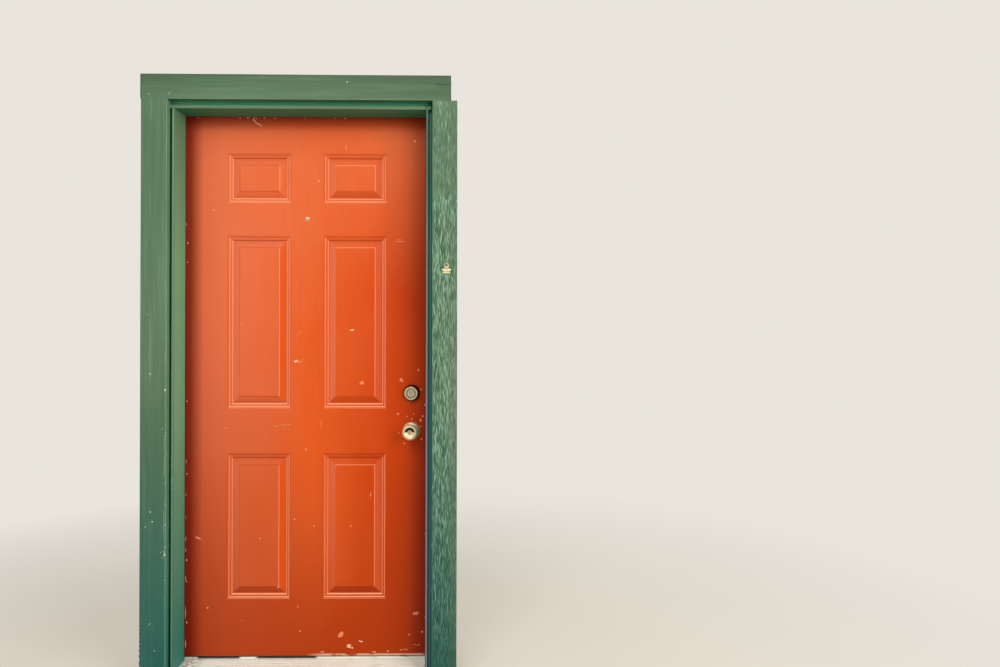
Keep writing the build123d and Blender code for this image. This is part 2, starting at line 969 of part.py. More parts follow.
def strike_blank(z, thickness):
    """A strike's plate, let into the rebate and running out to the jamb's inner edge."""
    sketch = RectangleRounded(face_in - strike_front(), strike_height, 5.0)
    plate = extrude(sketch, amount=thickness)
    middle = (face_in + strike_front()) / 2
    square = block(
        rebate_face,
        rebate_face + thickness,
        face_in - 8,
        face_in,
        z - strike_height / 2,
        z + strike_height / 2,
    )
    placed = Plane(origin=(rebate_face, middle, z), x_dir=(0, 1, 0), z_dir=(1, 0, 0)) * plate
    return placed + square


def strike_front():
    return slab_middle - 13.0


def strike_holes():
    """Both strike pockets as (height, half width, half height, depth)."""
    through = jamb_back - rebate_face + 1
    return [
        (knob_z, latch_half_width + 1.2, latch_radius + 1.5, latch_pocket_depth),
        (deadbolt_z, deadbolt_half_width + 1.2, deadbolt_radius + 1.5, through),
    ]


def strike_screws(clearance=0.0):
    screws = []
    for z in (knob_z, deadbolt_z):
        for way in (-1, 1):
            screw_z = z + way * (strike_height / 2 - 8.0)
            screws.append(flat_screw(rebate_face, slab_middle, screw_z, 1, clearance))
    return screws


def rose_section(opening):
    """Half section of a spun rose: a domed shell with a rolled rim round its opening."""
    sheet = 1.4
    rim = opening + 2.2
    top = rose_height
    outer = ThreePointArc((rose_radius, 0), (rose_radius - 3.4, 0.62 * top), (rim + 4, top - 1.2))
    crown = ThreePointArc((rim + 4, top - 1.2), (rim + 1, top), (opening, top - 1.0))
    inner = Polyline(
        (opening, top - 1.0),
        (opening, top - 1.0 - sheet - 1.0),
        (rim + 4, top - 1.2 - sheet),
        (rose_radius - 3.4 - sheet, 0.62 * top - 0.9),
        (rose_radius - sheet - 0.6, 0),
        (rose_radius, 0),
    )
    return outer + crown + inner


def outer_rose():
    """The street-side rose with the two threaded posts that the through screws draw on."""
    body = turned(rose_section(neck_radius + 0.8), lock_x, face_out, knob_z, -1)
    for way in (-1, 1):
        z = knob_z + way * post_rise()
        post = rod_y(lock_x, face_out - rose_height + 3.2, face_out + 18, z, 3.4)
        post -= rod_y(lock_x, face_out + 1, face_out + 19, z, lock_screw_radius + glue_line)
        body += post
    return largest(body)


def post_rise():
    """Height of the knob set's through screws above and below its axis."""
    return cross_bore_radius - post_inset


def inner_rose():
    body = turned(rose_section(neck_radius + 0.8), lock_x, face_in, knob_z, 1)
    for way in (-1, 1):
        z = knob_z + way * post_rise()
        body -= rod_y(lock_x, face_in, face_in + 20, z, lock_screw_radius + glue_line)
    return largest(body)


def rose_screws():
    """The knob set's two through screws, their heads on the inner rose."""
    body = []
    for way in (-1, 1):
        z = knob_z + way * post_rise()
        seat = face_in + rose_height - 1.3
        screw = rod_y(lock_x, face_out + 3, seat + 1.2, z, lock_screw_radius)
        screw += rod_y(lock_x, seat + 1.0, seat + 2.8, z, 3.6)
        body.append(screw)
    return body


def knob_section():
    """Half section of a knob: neck, swelling body, rolled rim and dished face, as turned."""
    end = knob_projection
    start = 2.0
    mouth = plug_radius + pin_clearance
    socket = spindle_radius + 0.03
    seat = end - 24.0
    flare = (neck_radius + 2.4, 0.29 * end)
    neck = Polyline((socket, start), (neck_radius, start), (neck_radius, 0.25 * end), flare)
    body = ThreePointArc(neck @ 1, (knob_radius - 5.6, 0.45 * end), (knob_radius, 0.7 * end))
    brow = (knob_radius - 2.1, 0.875 * end)
    shoulder = ThreePointArc(body @ 1, brow, (knob_face_radius + 2.2, end))
    rim = ThreePointArc(shoulder @ 1, (knob_face_radius + 0.6, end - 0.4), (knob_face_radius, end - 1.6))
    bowl = end - knob_dish
    wall = (knob_face_radius - 2.2, bowl + 0.35 * (knob_dish - 1.6))
    dish = ThreePointArc(rim @ 1, wall, (plug_radius + 6.0, bowl))
    boss = Polyline(
        dish @ 1,
        (plug_radius + 3.4, bowl),
        (plug_radius + 2.8, end - plug_set),
        (mouth, end - plug_set),
        (mouth, seat),
        (socket, seat),
        (socket, start),
    )
    return neck + body + shoulder + rim + dish + boss


def outer_knob():
    return turned(knob_section(), lock_x, face_out, knob_z, -1)


def inner_knob():
    return turned(knob_section(), lock_x, face_in, knob_z, 1)


def knob_spindle():
    """The tube through both knobs, with its cam turned as far as it goes to draw the latch."""
    reach = knob_projection - 24.5
    tube = rod_y(lock_x, face_out - reach, face_in + reach, knob_z, spindle_radius)
    cam = block(
        lock_x - cam_half_width,
        lock_x + cam_half_width,
        plate_y - 0.5,
        plate_y + plate_thickness + 0.5,
        knob_z - cam_reach,
        knob_z,
    )
    cam = cam.rotate(Axis((lock_x, 0, knob_z), (0, 1, 0)), knob_turn)
    body = tube + cam
    return body - rod_y(lock_x, face_out - reach - 1, face_in + reach + 1, knob_z, spindle_bore)


def knob_key_plug():
    """The key plug with its keyway, and the flat bar that reaches the turn button inside."""
    front = face_out - knob_projection + plug_set - 0.2
    plug = rod_y(lock_x, front, front + 21.0, knob_z, plug_radius)
    plug -= keyway(front, knob_z)
    end = face_in + knob_projection - 12.0
    bar = block(
        lock_x - tail_bar_thickness / 2,
        lock_x + tail_bar_thickness / 2,
        front + 20,
        end,
        knob_z - tail_bar_width / 2,
        knob_z + tail_bar_width / 2,
    )
    return plug + bar


def keyway(front, z):
    """A stepped keyway in a plug's face."""
    cut = block(lock_x - 0.7, lock_x + 0.7, front - 1, front + 12, z - 4.2, z + 4.2)
    return cut + block(lock_x - 1.5, lock_x, front - 1, front + 12, z - 1.2, z + 0.6)


def turn_button():
    """The inner knob's lock button, slotted for the plug's bar."""
    front = face_in + knob_projection - 1.4
    button = rod_y(lock_x, front - 20.0, front, knob_z, plug_radius)
    grip = block(lock_x - 1.4, lock_x + 1.4, front - 0.5, front + 7, knob_z - 5.2, knob_z + 5.2)
    grip = fillet(grip.edges().filter_by(Axis.X).sort_by(Axis.Y)[-2:], 3.0)
    slot = glue_line
    cut = block(
        lock_x - tail_bar_thickness / 2 - slot,
        lock_x + tail_bar_thickness / 2 + slot,
        front - 21,
        face_in + knob_projection - 11.9,
        knob_z - tail_bar_width / 2 - slot,
        knob_z + tail_bar_width / 2 + slot,
    )
    return button + grip - cut


# Deadbolt


def collar_section():
    """Half section of the outer collar: a tapered shell with a turned-in face ring."""
    top = collar_projection
    wall = 2.2
    bore = cylinder_radius + 0.2
    side = Polyline((collar_radius, 0), (collar_radius, 1.6), (collar_face_radius + 1.2, top - 1.0))
    face = collar_face_radius
    corner = ThreePointArc(side @ 1, (face + 0.3, top - 0.2), (face - 1.0, top))
    ring = Polyline(
        corner @ 1,
        (cylinder_radius + 2.6, top),
        (cylinder_radius + 1.4, top - 1.2),
        (bore, top - 1.2),
        (bore, top - 6.0),
        (collar_face_radius - wall, top - 6.0),
        (collar_radius - wall - 0.8, 0),
        (collar_radius, 0),
    )
    return side + corner + ring


def deadbolt_collar():
    return turned(collar_section(), lock_x, face_out, deadbolt_z, -1)


def deadbolt_cylinder():
    """The lock cylinder inside the collar, bored for its plug and tapped for the two screws."""
    front = face_out - collar_projection + 1.6
    back = face_out + 14.0
    body = rod_y(lock_x, front, back, deadbolt_z, cylinder_radius)
    body = fillet(body.edges().sort_by(Axis.Y)[0], 0.8)
    body -= rod_y(lock_x, front - 1, back + 1, deadbolt_z, plug_radius + pin_clearance)
    for side in (-1, 1):
        x = lock_x + side * deadbolt_screw_x
        z = deadbolt_z + deadbolt_screw_z
        body -= rod_y(x, face_out, back + 1, z, lock_screw_radius + glue_line)
    return body



def deadbolt_key_plug():
    front = face_out - collar_projection + 1.3
    plug = rod_y(lock_x, front, face_out + 15.0, deadbolt_z, plug_radius)
    return plug - keyway(front, deadbolt_z)


def arm_radius():
    """Arm length that turns the quarter turn into the bolt's throw."""
    return deadbolt_throw / (2 * sin(radians(arm_angle)))


def deadbolt_case():
    return bolt_case(deadbolt_z, deadbolt_radius, deadbolt_half_width, lock_x + 27.0)


def deadbolt_bolt():
    """The bolt, with a side bar above the blade and an open fork round the arm's pin."""
    tip = slab_edge
    back = slab_edge - 38.0
    bar = bolt_bar(back, tip - 1.0, deadbolt_z, deadbolt_radius, deadbolt_half_width)
    bar += bolt_bar(tip - 1.0, tip, deadbolt_z, deadbolt_radius - 0.7, deadbolt_half_width - 0.7)
    fork_x = lock_x - deadbolt_throw / 2
    half = arm_pin_radius + 0.65
    y0 = plate_y + 2.0
    y1 = y0 + plate_thickness
    low = deadbolt_z + 5.4
    top = deadbolt_z + arm_radius() + 1.0
    bar += block(fork_x - half - 2.0, back + 1, y0, y1, low, low + 4.0)
    bar += block(fork_x - half - 2.0, fork_x + half + 2.0, y0, y1, low, top)
    bar -= block(fork_x - half, fork_x + half, y0 - 1, y1 + 1, low + 4.0, top + 1)
    return largest(bar)


def deadbolt_cam():
    """The hub and arm that the thumbturn's blade turns, with the pin that drives the fork."""
    angle = radians(arm_angle)
    reach = arm_radius()
    y1 = plate_y + 1.6
    y0 = y1 - plate_thickness
    pin_x = lock_x - reach * sin(angle)
    pin_z = deadbolt_z + reach * cos(angle)
    hub = rod_y(lock_x, y0, y1, deadbolt_z, 5.6)
    arm = Box(5.0, plate_thickness, reach)
    arm = Location((0, 0, reach / 2)) * arm
    arm = Location((lock_x, (y0 + y1) / 2, deadbolt_z), (0, -arm_angle, 0)) * arm
    tip = rod_y(pin_x, y0, y1, pin_z, 2.5)
    pin = rod_y(pin_x, y1 - 1, plate_y + 2.0 + plate_thickness, pin_z, arm_pin_radius)
    hole = block(lock_x - 1.3, lock_x + 1.3, y0 - 1, y1 + 1, deadbolt_z - 3.3, deadbolt_z + 3.3)
    return hub + arm + tip + pin - hole


def thumbturn():
    """The inside turn: a waisted grip on a round hub, and the blade through the cam."""
    top = face_in + inner_collar_height
    hub = rod_y(lock_x, top - 6, top + 5, deadbolt_z, 8.0)
    hub = fillet(hub.edges().sort_by(Axis.Y)[-1], 1.5)
    outline = Spline(
        (0, 21),
        (4.6, 15),
        (3.2, 0),
        (4.6, -15),
        (0, -21),
        (-4.6, -15),
        (-3.2, 0),
        (-4.6, 15),
        periodic=True,
    )
    grip = extrude(make_face(outline), amount=12.0)
    grip = Plane(origin=(lock_x, top + 3.5, deadbolt_z), x_dir=(1, 0, 0), z_dir=(0, 1, 0)) * grip
    blade = block(lock_x - 1.2, lock_x + 1.2, plate_y - 1.2, top, deadbolt_z - 3.2, deadbolt_z + 3.2)
    return hub + grip + blade


def deadbolt_inner_rose():
    """The inside collar: a low domed disc that carries the thumbturn and the two screws."""
    top = inner_collar_height
    section = Polyline((8.1, 0), (collar_radius, 0), (collar_radius, 1.6))
    crown = ThreePointArc(section @ 1, (collar_radius - 6, top - 1.8), (collar_radius - 14, top))
    back = Polyline(crown @ 1, (8.1, top), (8.1, 0))
    body = turned(section + crown + back, lock_x, face_in, deadbolt_z, 1)
    for side in (-1, 1):
        x = lock_x + side * deadbolt_screw_x
        z = deadbolt_z + deadbolt_screw_z
        body -= rod_y(x, face_in - 1, face_in + 20, z, lock_screw_radius + glue_line)
    return body


def deadbolt_screws():
    """The deadbolt's two long screws, from the inner rose into the cylinder."""
    body = []
    for side in (-1, 1):
        x = lock_x + side * deadbolt_screw_x
        z = deadbolt_z + deadbolt_screw_z
        seat = face_in + inner_collar_height
        screw = rod_y(x, face_out + 4, seat + 0.5, z, lock_screw_radius)
        screw += rod_y(x, seat + 0.05, seat + 1.8, z, 3.4)
        body.append(screw)
    return body


# Peephole


def peephole_barrel():
    """The viewer's street-side barrel with its domed flange."""
    bore = peephole_radius - 1.4
    section = Polyline((bore, -22), (peephole_radius, -22), (peephole_radius, 0), (peephole_flange, 0))
    crown = ThreePointArc(section @ 1, (peephole_flange - 0.8, 1.5), (bore + 0.8, 2.0))
    back = Polyline(crown @ 1, (bore, 1.2), (bore, -22))
    return turned(section + crown + back, 0, face_out, slab_bottom + peephole_height, -1)


def peephole_lens():
    radius = peephole_radius - 1.4 - glue_line
    body = rod_y(0, face_out - 1.5, face_out + 2, slab_bottom + peephole_height, radius)
    return fillet(body.edges().sort_by(Axis.Y)[0], 1.4)


def peephole_sleeve():
    """The sleeve that screws over the barrel from inside."""
    bore = peephole_radius + glue_line
    wall = bore + sleeve_wall
    section = Polyline((bore, -30), (wall, -30), (wall, 0), (sleeve_flange, 0), (sleeve_flange, 1.0))
    crown = ThreePointArc(section @ 1, (sleeve_flange - 1.2, 1.9), (sleeve_flange - 3, 2.2))
    back = Polyline(crown @ 1, (bore, 2.2), (bore, -30))
    return turned(section + crown + back, 0, face_in, slab_bottom + peephole_height, 1)


# Paper clip


def clip_tab():
    """A round-ended handle with its hole, lying in the XZ plane and rising from z = 0."""
    half = clip_tab_width / 2
    flat = clip_rise - half
    outline = Polyline((-half * 0.62, 0), (-half, flat * 0.55), (-half, flat))
    crown = ThreePointArc(outline @ 1, (0, clip_rise), (half, flat))
    back = Polyline(crown @ 1, (half, flat * 0.55), (half * 0.62, 0), (-half * 0.62, 0))
    sheet = make_face(outline + crown + back)
    sheet -= Location((0, clip_hole_rise, 0)) * Circle(clip_hole_radius)
    return extrude(Plane.XZ * sheet, amount=clip_sheet)


def clip_knuckles(spans):
    """Rolled knuckles of one clip plate, on both sides of its middle."""
    body = None
    for x0, x1 in spans:
        for side in (-1, 1):
            roll = rod_x(clip_x + side * x0, clip_x + side * x1, clip_y, clip_z, clip_barrel_radius)
            body = roll if body is None else body + roll
    return body


def clip_back_plate():
    """The plate against the board: handle, end knuckles and a plain lower jaw."""
    tab = clip_tab().moved(Location((clip_x, clip_face, clip_z)))
    half = clip_width / 2 - 2.2
    back = clip_face - clip_sheet
    jaw = block(clip_x - half, clip_x + half, back, clip_face, clip_z - clip_drop, clip_z + 2)
    opening = clip_width / 2 - 5
    gap = block(
        clip_x - opening,
        clip_x + opening,
        clip_face - 2 * clip_barrel_radius - 1,
        clip_face - clip_sheet,
        clip_z - clip_barrel_radius - 1,
        clip_z + clip_barrel_radius + 1,
    )
    body = tab + jaw + clip_knuckles([(clip_width / 2 - 4.8, clip_width / 2)]) - gap
    middle = clip_barrel_radius + 0.3
    body -= rod_x(clip_x - opening, clip_x + opening, clip_y, clip_z, middle)
    return largest(body - rod_x(clip_x - 30, clip_x + 30, clip_y, clip_z, clip_pin_radius + glue_line))


def clip_front_plate():
    """The sprung plate: tilted handle, two inner knuckles and a rolled jaw."""
    half = clip_width / 2 - 5.3
    reach = clip_width / 2 - 2.2
    front = clip_y - clip_barrel_radius
    tab = Location((0, 0, 0), (clip_tilt, 0, 0)) * clip_tab()
    tab = tab.moved(Location((clip_x, clip_y - 1.6, clip_z + 1.6)))
    roll_y = clip_face - clip_sheet - 0.3 - clip_roll_radius
    roll_z = clip_z - clip_drop + clip_roll_radius
    sheet = block(clip_x - half, clip_x + half, front, front + clip_sheet, clip_z - 6.5, clip_z)
    wide = block(clip_x - reach, clip_x + reach, front, front + clip_sheet, roll_z, clip_z - 5.2)
    roll = rod_x(clip_x - reach, clip_x + reach, roll_y, roll_z, clip_roll_radius)
    body = tab + sheet + wide + roll + clip_knuckles([(4.6, half)])
    middle = block(clip_x - 4.6, clip_x + 4.6, front - 1, 0, clip_z - 4.6, clip_z + 4.6)
    hub = rod_x(clip_x - 4.6, clip_x + 4.6, clip_y, clip_z, 3.0)
    body -= hub & middle
    bore = clip_pin_radius + pin_clearance
    return largest(body - rod_x(clip_x - 30, clip_x + 30, clip_y, clip_z, bore))


def clip_pin():
    """The clip's pin, upset at both ends."""
    half = clip_width / 2
    body = rod_x(clip_x - half, clip_x + half, clip_y, clip_z, clip_pin_radius)
    for side in (-1, 1):
        x = clip_x + side * half
        body += rod_x(x, x + side * 0.8, clip_y, clip_z, clip_pin_radius + 0.7)
    return body


def clip_spring():
    """The clip's torsion spring, wound on the pin in the open middle of the barrel."""
    wire = 0.45
    coil = clip_pin_radius + wire + 0.15
    path = Helix(pitch=1.4, height=7.0, radius=coil)
    section = Plane(origin=path @ 0, z_dir=path % 0) * Circle(wire)
    coil_body = sweep(section, path=path, is_frenet=True)
    return Location((clip_x - 3.5, clip_y, clip_z), (0, 90, 0)) * coil_body


def clip_nail(clearance=0.0):
    """The nail that the clip hangs on."""
    z = clip_z + clip_hole_rise + clip_hole_radius - nail_radius
    body = rod_y(clip_x, clip_face - clip_sheet - 0.6, clip_face + 16, z, nail_radius + clearance)
    if not clearance:
        head = rod_y(clip_x, clip_face - clip_sheet - 1.8, clip_face - clip_sheet - 0.5, z, 3.0)
        body += fillet(head.edges().sort_by(Axis.Y)[0], 0.8)
    return body


# Parts


def hinge_parts():
    """The three hinges' leaves by name."""
    parts = {}
    for name, z in hinge_heights.items():
        parts[name + "_frame_leaf"] = hinge_leaf(z, "frame")
        parts[name + "_door_leaf"] = hinge_leaf(z, "door")
    return parts


def all_parts():
    """Every node of the door set by name; a list is a group of fasteners or of glued strips."""
    frame_screws = []
    door_screws = []
    for z in hinge_heights.values():
        frame_screws += leaf_screws(z, -1)
        door_screws += leaf_screws(z, 1)
    parts = {
        "hinge_jamb": hinge_jamb(),
        "strike_jamb": strike_jamb(),
        "head_jamb": head_jamb(),
        "hinge_side_casing": hinge_side_casing(),
        "strike_side_casing": strike_side_casing(),
        "head_casing": head_casing(),
        "casing_nails": casing_nail_list(),
        "sill_base": sill_base(),
        "sill_deck": sill_deck(),
        "threshold_cap": threshold_cap(),
        "hinge_side_seal": side_seal(-1),
        "strike_side_seal": side_seal(1),
        "head_seal": head_seal(),
        "hinge_pins": [hinge_pin(z) for z in hinge_heights.values()],
        "frame_screws": frame_screws + strike_screws() + cap_screw_list(),
        "latch_strike": latch_strike(),
        "deadbolt_strike": deadbolt_strike(),
        "outer_skin": skin(False),
        "inner_skin": skin(True),
        "hinge_stile": hinge_stile(),
        "lock_stile": lock_stile(),
        "top_rail": slab_rail(slab_top - rail_height),
        "bottom_rail": slab_rail(slab_bottom),
        "lock_block": lock_block(),
        "foam_core": foam_core(),
        "door_sweep": door_sweep(),
        "door_screws": door_screws + faceplate_screws(),
        "latch_case": latch_case(),
        "latch_bolt": latch_bolt(),
        "outer_rose": outer_rose(),
        "inner_rose": inner_rose(),
        "rose_screws": rose_screws(),
        "outer_knob": outer_knob(),
        "inner_knob": inner_knob(),
        "knob_spindle": knob_spindle(),
        "knob_key_plug": knob_key_plug(),
        "turn_button": turn_button(),
        "deadbolt_collar": deadbolt_collar(),
        "deadbolt_cylinder": deadbolt_cylinder(),
        "deadbolt_key_plug": deadbolt_key_plug(),
        "deadbolt_case": deadbolt_case(),
        "deadbolt_bolt": deadbolt_bolt(),
        "deadbolt_cam": deadbolt_cam(),
        "deadbolt_inner_rose": deadbolt_inner_rose(),
        "deadbolt_screws": deadbolt_screws(),
        "thumbturn": thumbturn(),
        "peephole_barrel": peephole_barrel(),
        "peephole_lens": peephole_lens(),
        "peephole_sleeve": peephole_sleeve(),
        "clip_back_plate": clip_back_plate(),
        "clip_front_plate": clip_front_plate(),
        "clip_pin": clip_pin(),
        "clip_spring": clip_spring(),
        "clip_nail": clip_nail(),
    }
    parts.update(hinge_parts())
    return parts


def write_parts():
    os.makedirs("parts", exist_ok=True)
    for name, shape in all_parts().items():
        if isinstance(shape, list):
            solids = [solid for item in shape for solid in item.solids()]
        else:
            solids = shape.solids()
        export_step(Compound(children=solids) if len(solids) > 1 else solids[0], f"parts/{name}.step")


write_parts()
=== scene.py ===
import bmesh
import bpy
import math
from mathutils import Matrix, Vector, noise


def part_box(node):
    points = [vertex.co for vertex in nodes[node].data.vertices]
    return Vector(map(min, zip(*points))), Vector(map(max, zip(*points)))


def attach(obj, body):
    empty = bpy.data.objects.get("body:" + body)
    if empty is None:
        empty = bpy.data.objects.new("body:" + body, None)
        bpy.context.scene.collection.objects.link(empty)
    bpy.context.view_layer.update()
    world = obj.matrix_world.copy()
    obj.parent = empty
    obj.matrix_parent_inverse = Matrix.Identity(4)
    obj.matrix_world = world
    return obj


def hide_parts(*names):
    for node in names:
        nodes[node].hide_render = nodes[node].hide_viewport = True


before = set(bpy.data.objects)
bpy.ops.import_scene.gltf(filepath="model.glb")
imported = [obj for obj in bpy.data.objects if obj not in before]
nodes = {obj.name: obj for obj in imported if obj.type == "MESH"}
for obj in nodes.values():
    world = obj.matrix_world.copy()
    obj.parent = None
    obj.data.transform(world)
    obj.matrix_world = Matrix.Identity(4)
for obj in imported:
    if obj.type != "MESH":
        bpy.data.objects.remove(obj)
bpy.ops.object.select_all(action="DESELECT")
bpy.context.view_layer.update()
print("stage: frame loaded,", len(nodes), "nodes")


# Colour and node helpers


def linearColour(text):
    channels = [int(text[i:i + 2], 16) / 255 for i in (1, 3, 5)]
    return [c / 12.92 if c <= 0.04045 else ((c + 0.055) / 1.055) ** 2.4 for c in channels] + [1.0]


def addNode(tree, kind, settings={}, values={}, links={}):  # adds one node, sets it and links it
    node = tree.nodes.new("ShaderNode" + kind)
    for name, value in settings.items():
        setattr(node, name, value)
    for name, value in values.items():
        node.inputs[name].default_value = value
    for name, socket in links.items():
        tree.links.new(socket, node.inputs[name])
    return node


def startMaterial(name, **surface):  # a new material, its shader and its Object coordinates
    material = bpy.data.materials.new(name)
    material.use_nodes = True
    tree = material.node_tree
    tree.nodes.clear()
    shader = addNode(tree, "BsdfPrincipled", values=surface)
    addNode(tree, "OutputMaterial", links={"Surface": shader.outputs["BSDF"]})
    place = addNode(tree, "TexCoord").outputs["Object"]
    return material, shader, place


def patches(place, size, low, high, stretch=(1, 1, 1), detail=3.0, warp=0.0):
    # soft noise of a real feature size in mm, cut to 0..1 between two levels
    tree = place.id_data
    scaled = addNode(tree, "Mapping", values={"Scale": stretch}, links={"Vector": place})
    grain = addNode(
        tree,
        "TexNoise",
        values={"Scale": 1000 / size, "Detail": detail, "Distortion": warp},
        links={"Vector": scaled.outputs[0]},
    )
    levels = {"From Min": low, "From Max": high}
    return addNode(tree, "MapRange", values=levels, links={"Value": grain.outputs[0]}).outputs[0]


def drawnOut(along, share):  # scales that draw a pattern out along one axis
    return tuple(share if axis == along else 1.0 for axis in "XYZ")


def ramp(socket, start, end):  # 0 at the start value, 1 at the end value
    levels = {"From Min": start, "From Max": end}
    return addNode(socket.id_data, "MapRange", values=levels, links={"Value": socket}).outputs[0]


def band(socket, start, middle, end):  # rises from the start to 1, falls to 0 at the end
    up = ramp(socket, start, middle)
    down = ramp(socket, end, middle)
    return addNode(socket.id_data, "Math", {"operation": "MINIMUM"}, links={0: up, 1: down}).outputs[0]


def overlap(*masks):  # where all the masks meet
    shared = masks[0]
    for mask in masks[1:]:
        links = {0: shared, 1: mask}
        shared = addNode(mask.id_data, "Math", {"operation": "MULTIPLY"}, links=links).outputs[0]
    return shared


def facing(tree):  # the way a surface faces, along the piece's own axes
    own = addNode(tree, "TexCoord").outputs["Normal"]
    return addNode(tree, "SeparateXYZ", links={"Vector": own}).outputs


def placed(tree):  # where a point lies, in metres along the piece's own axes
    own = addNode(tree, "TexCoord").outputs["Object"]
    return addNode(tree, "SeparateXYZ", links={"Vector": own}).outputs


def blendColour(mask, under, over, strength=1.0):
    # lays one colour over another by a mask; either may be a hex value or a socket
    tree = mask.id_data
    share = addNode(tree, "Math", {"operation": "MULTIPLY"}, {1: strength}, {0: mask}).outputs[0]
    values = {}
    links = {0: share}
    for slot, colour in ((6, under), (7, over)):
        if isinstance(colour, str):
            values[slot] = linearColour(colour)
        else:
            links[slot] = colour
    return addNode(tree, "Mix", {"data_type": "RGBA"}, values, links).outputs[2]


def layTones(colour, paint, tones):  # lays each (mask, tone, strength) over a colour in turn
    for mask, tone, strength in tones:
        colour = blendColour(mask, colour, paint[tone], strength)
    return colour


def finishSurface(shader, colour, heights=(), roughness=None):
    # links the colour, then a bump node for each (mask, mm), then the roughness as (mask, smooth, rough)
    tree = shader.id_data
    tree.links.new(colour, shader.inputs["Base Color"])
    normal = None
    for socket, height in heights:
        links = {"Height": socket}
        if normal:
            links["Normal"] = normal
        normal = addNode(tree, "Bump", values={"Distance": height / 1000}, links=links).outputs[0]
        tree.links.new(normal, shader.inputs["Normal"])
    if roughness:
        mask, smooth, rough = roughness
        levels = {"To Min": smooth, "To Max": rough}
        spread = addNode(tree, "MapRange", values=levels, links={"Value": mask})
        tree.links.new(spread.outputs[0], shader.inputs["Roughness"])


# Paints


doorPaint = {  # sizes and heights in mm; the stipple is coarser than a roller's, so that it shows
    # most tones below stand for light and shade: pink, right, glow, edge, ledge, shade, hot and rosy;
    # deep is darker paint in the strokes and painted shade; the second, paler tone clouds at random and
    # is also a painted sheen at the top; worn is the old coat
    "colour": "#E25A16",
    "paleAndSheen": "#E67C50",
    "deep": "#A93604",
    "pink": "#E07350",
    "right": "#CC3E00",
    "glow": "#EC6428",
    "edge": "#7C1408",
    "dirtAndShade": "#7A2408",
    "ledge": "#FFAE86",
    "shade": "#8E2A08",
    "hot": "#DA4E00",
    "rosy": "#D75C34",
    "worn": "#EBC2A6",
    "stipple": 2.6,
    "stippleHeight": 0.05,
    "brushHeight": 0.04,
    "dent": 150.0,
    "dentHeight": 0.45,
}

panelRelief = {  # metres behind the slab's street face, then how far a surface leans
    "hollow": (0.0045, 0.0082),
    "outline": (0.00002, 0.00014, 0.0005),
    "ledge": (0.00155, 0.0018, 0.0025),
    "bevel": (0.12, 0.26, 0.45),
    "lean": (0.12, 0.2),
}


def panelTones(tree, colour, face):  # painted light and shade on the mouldings, by depth and by the way each surface faces: highlights on raised edges and on faces turned up or sideways, shade on faces turned down, dirt and painted shade in the hollows
    x, y, z = placed(tree)
    out = facing(tree)
    relief = panelRelief
    bevel, lean = relief["bevel"], relief["lean"]
    backBevel, backLean = [-value for value in bevel], [-value for value in lean]
    left, right = ramp(x, 0.04, -0.04), ramp(x, -0.04, 0.04)
    start = band(y, *(face + depth for depth in relief["outline"]))
    near = band(y, *(face + depth for depth in relief["ledge"]))
    lit, below = band(out["X"], *bevel), band(out["Z"], *backBevel)
    above = ramp(out["Z"], *lean)
    wide = addNode(tree, "Math", {"operation": "ABSOLUTE"}, links={0: out["X"]}).outputs[0]
    # the ledge tone is a painted highlight, the shade and deep tones painted shade, the pink, hot and
    # rosy tones painted light on the bevels
    tones = [
        (ramp(y, *(face + depth for depth in relief["hollow"])), "dirtAndShade", 0.16),
        (overlap(start, ramp(out["Z"], 0.1, 0.04)), "shade", 0.45),
        (overlap(start, ramp(out["Z"], 0.06, 0.12)), "ledge", 0.7),
        (overlap(band(out["X"], *backBevel), ramp(z, 0.0, 0.95)), "pink", 0.75),
        (overlap(lit, left, ramp(z, 1.8, 1.5)), "hot", 0.7),
        (overlap(lit, right), "rosy", 0.7),
        (overlap(below, right), "deep", 0.42),
        (overlap(below, left), "deep", 0.2),
        (overlap(below, ramp(z, 1.0, 0.4)), "shade", 0.4),
        (overlap(near, ramp(out["X"], *lean)), "ledge", 0.75),
        (overlap(near, overlap(above, right)), "ledge", 0.75),
        (overlap(near, ramp(out["X"], *backLean), left), "shade", 0.55),
        (overlap(near, ramp(out["Z"], *backLean), left), "shade", 0.55),
        (overlap(near, above, left), "shade", 0.55),
        (ramp(wide, 0.4, 0.75), "ledge", 0.6),
        (ramp(out["X"], -0.30, -0.45), "ledge", 0.5),
        (ramp(out["Z"], -0.4, -0.75), "shade", 0.7),
        (ramp(out["Z"], 0.30, 0.48), "ledge", 0.9),
    ]
    return layTones(colour, doorPaint, tones)


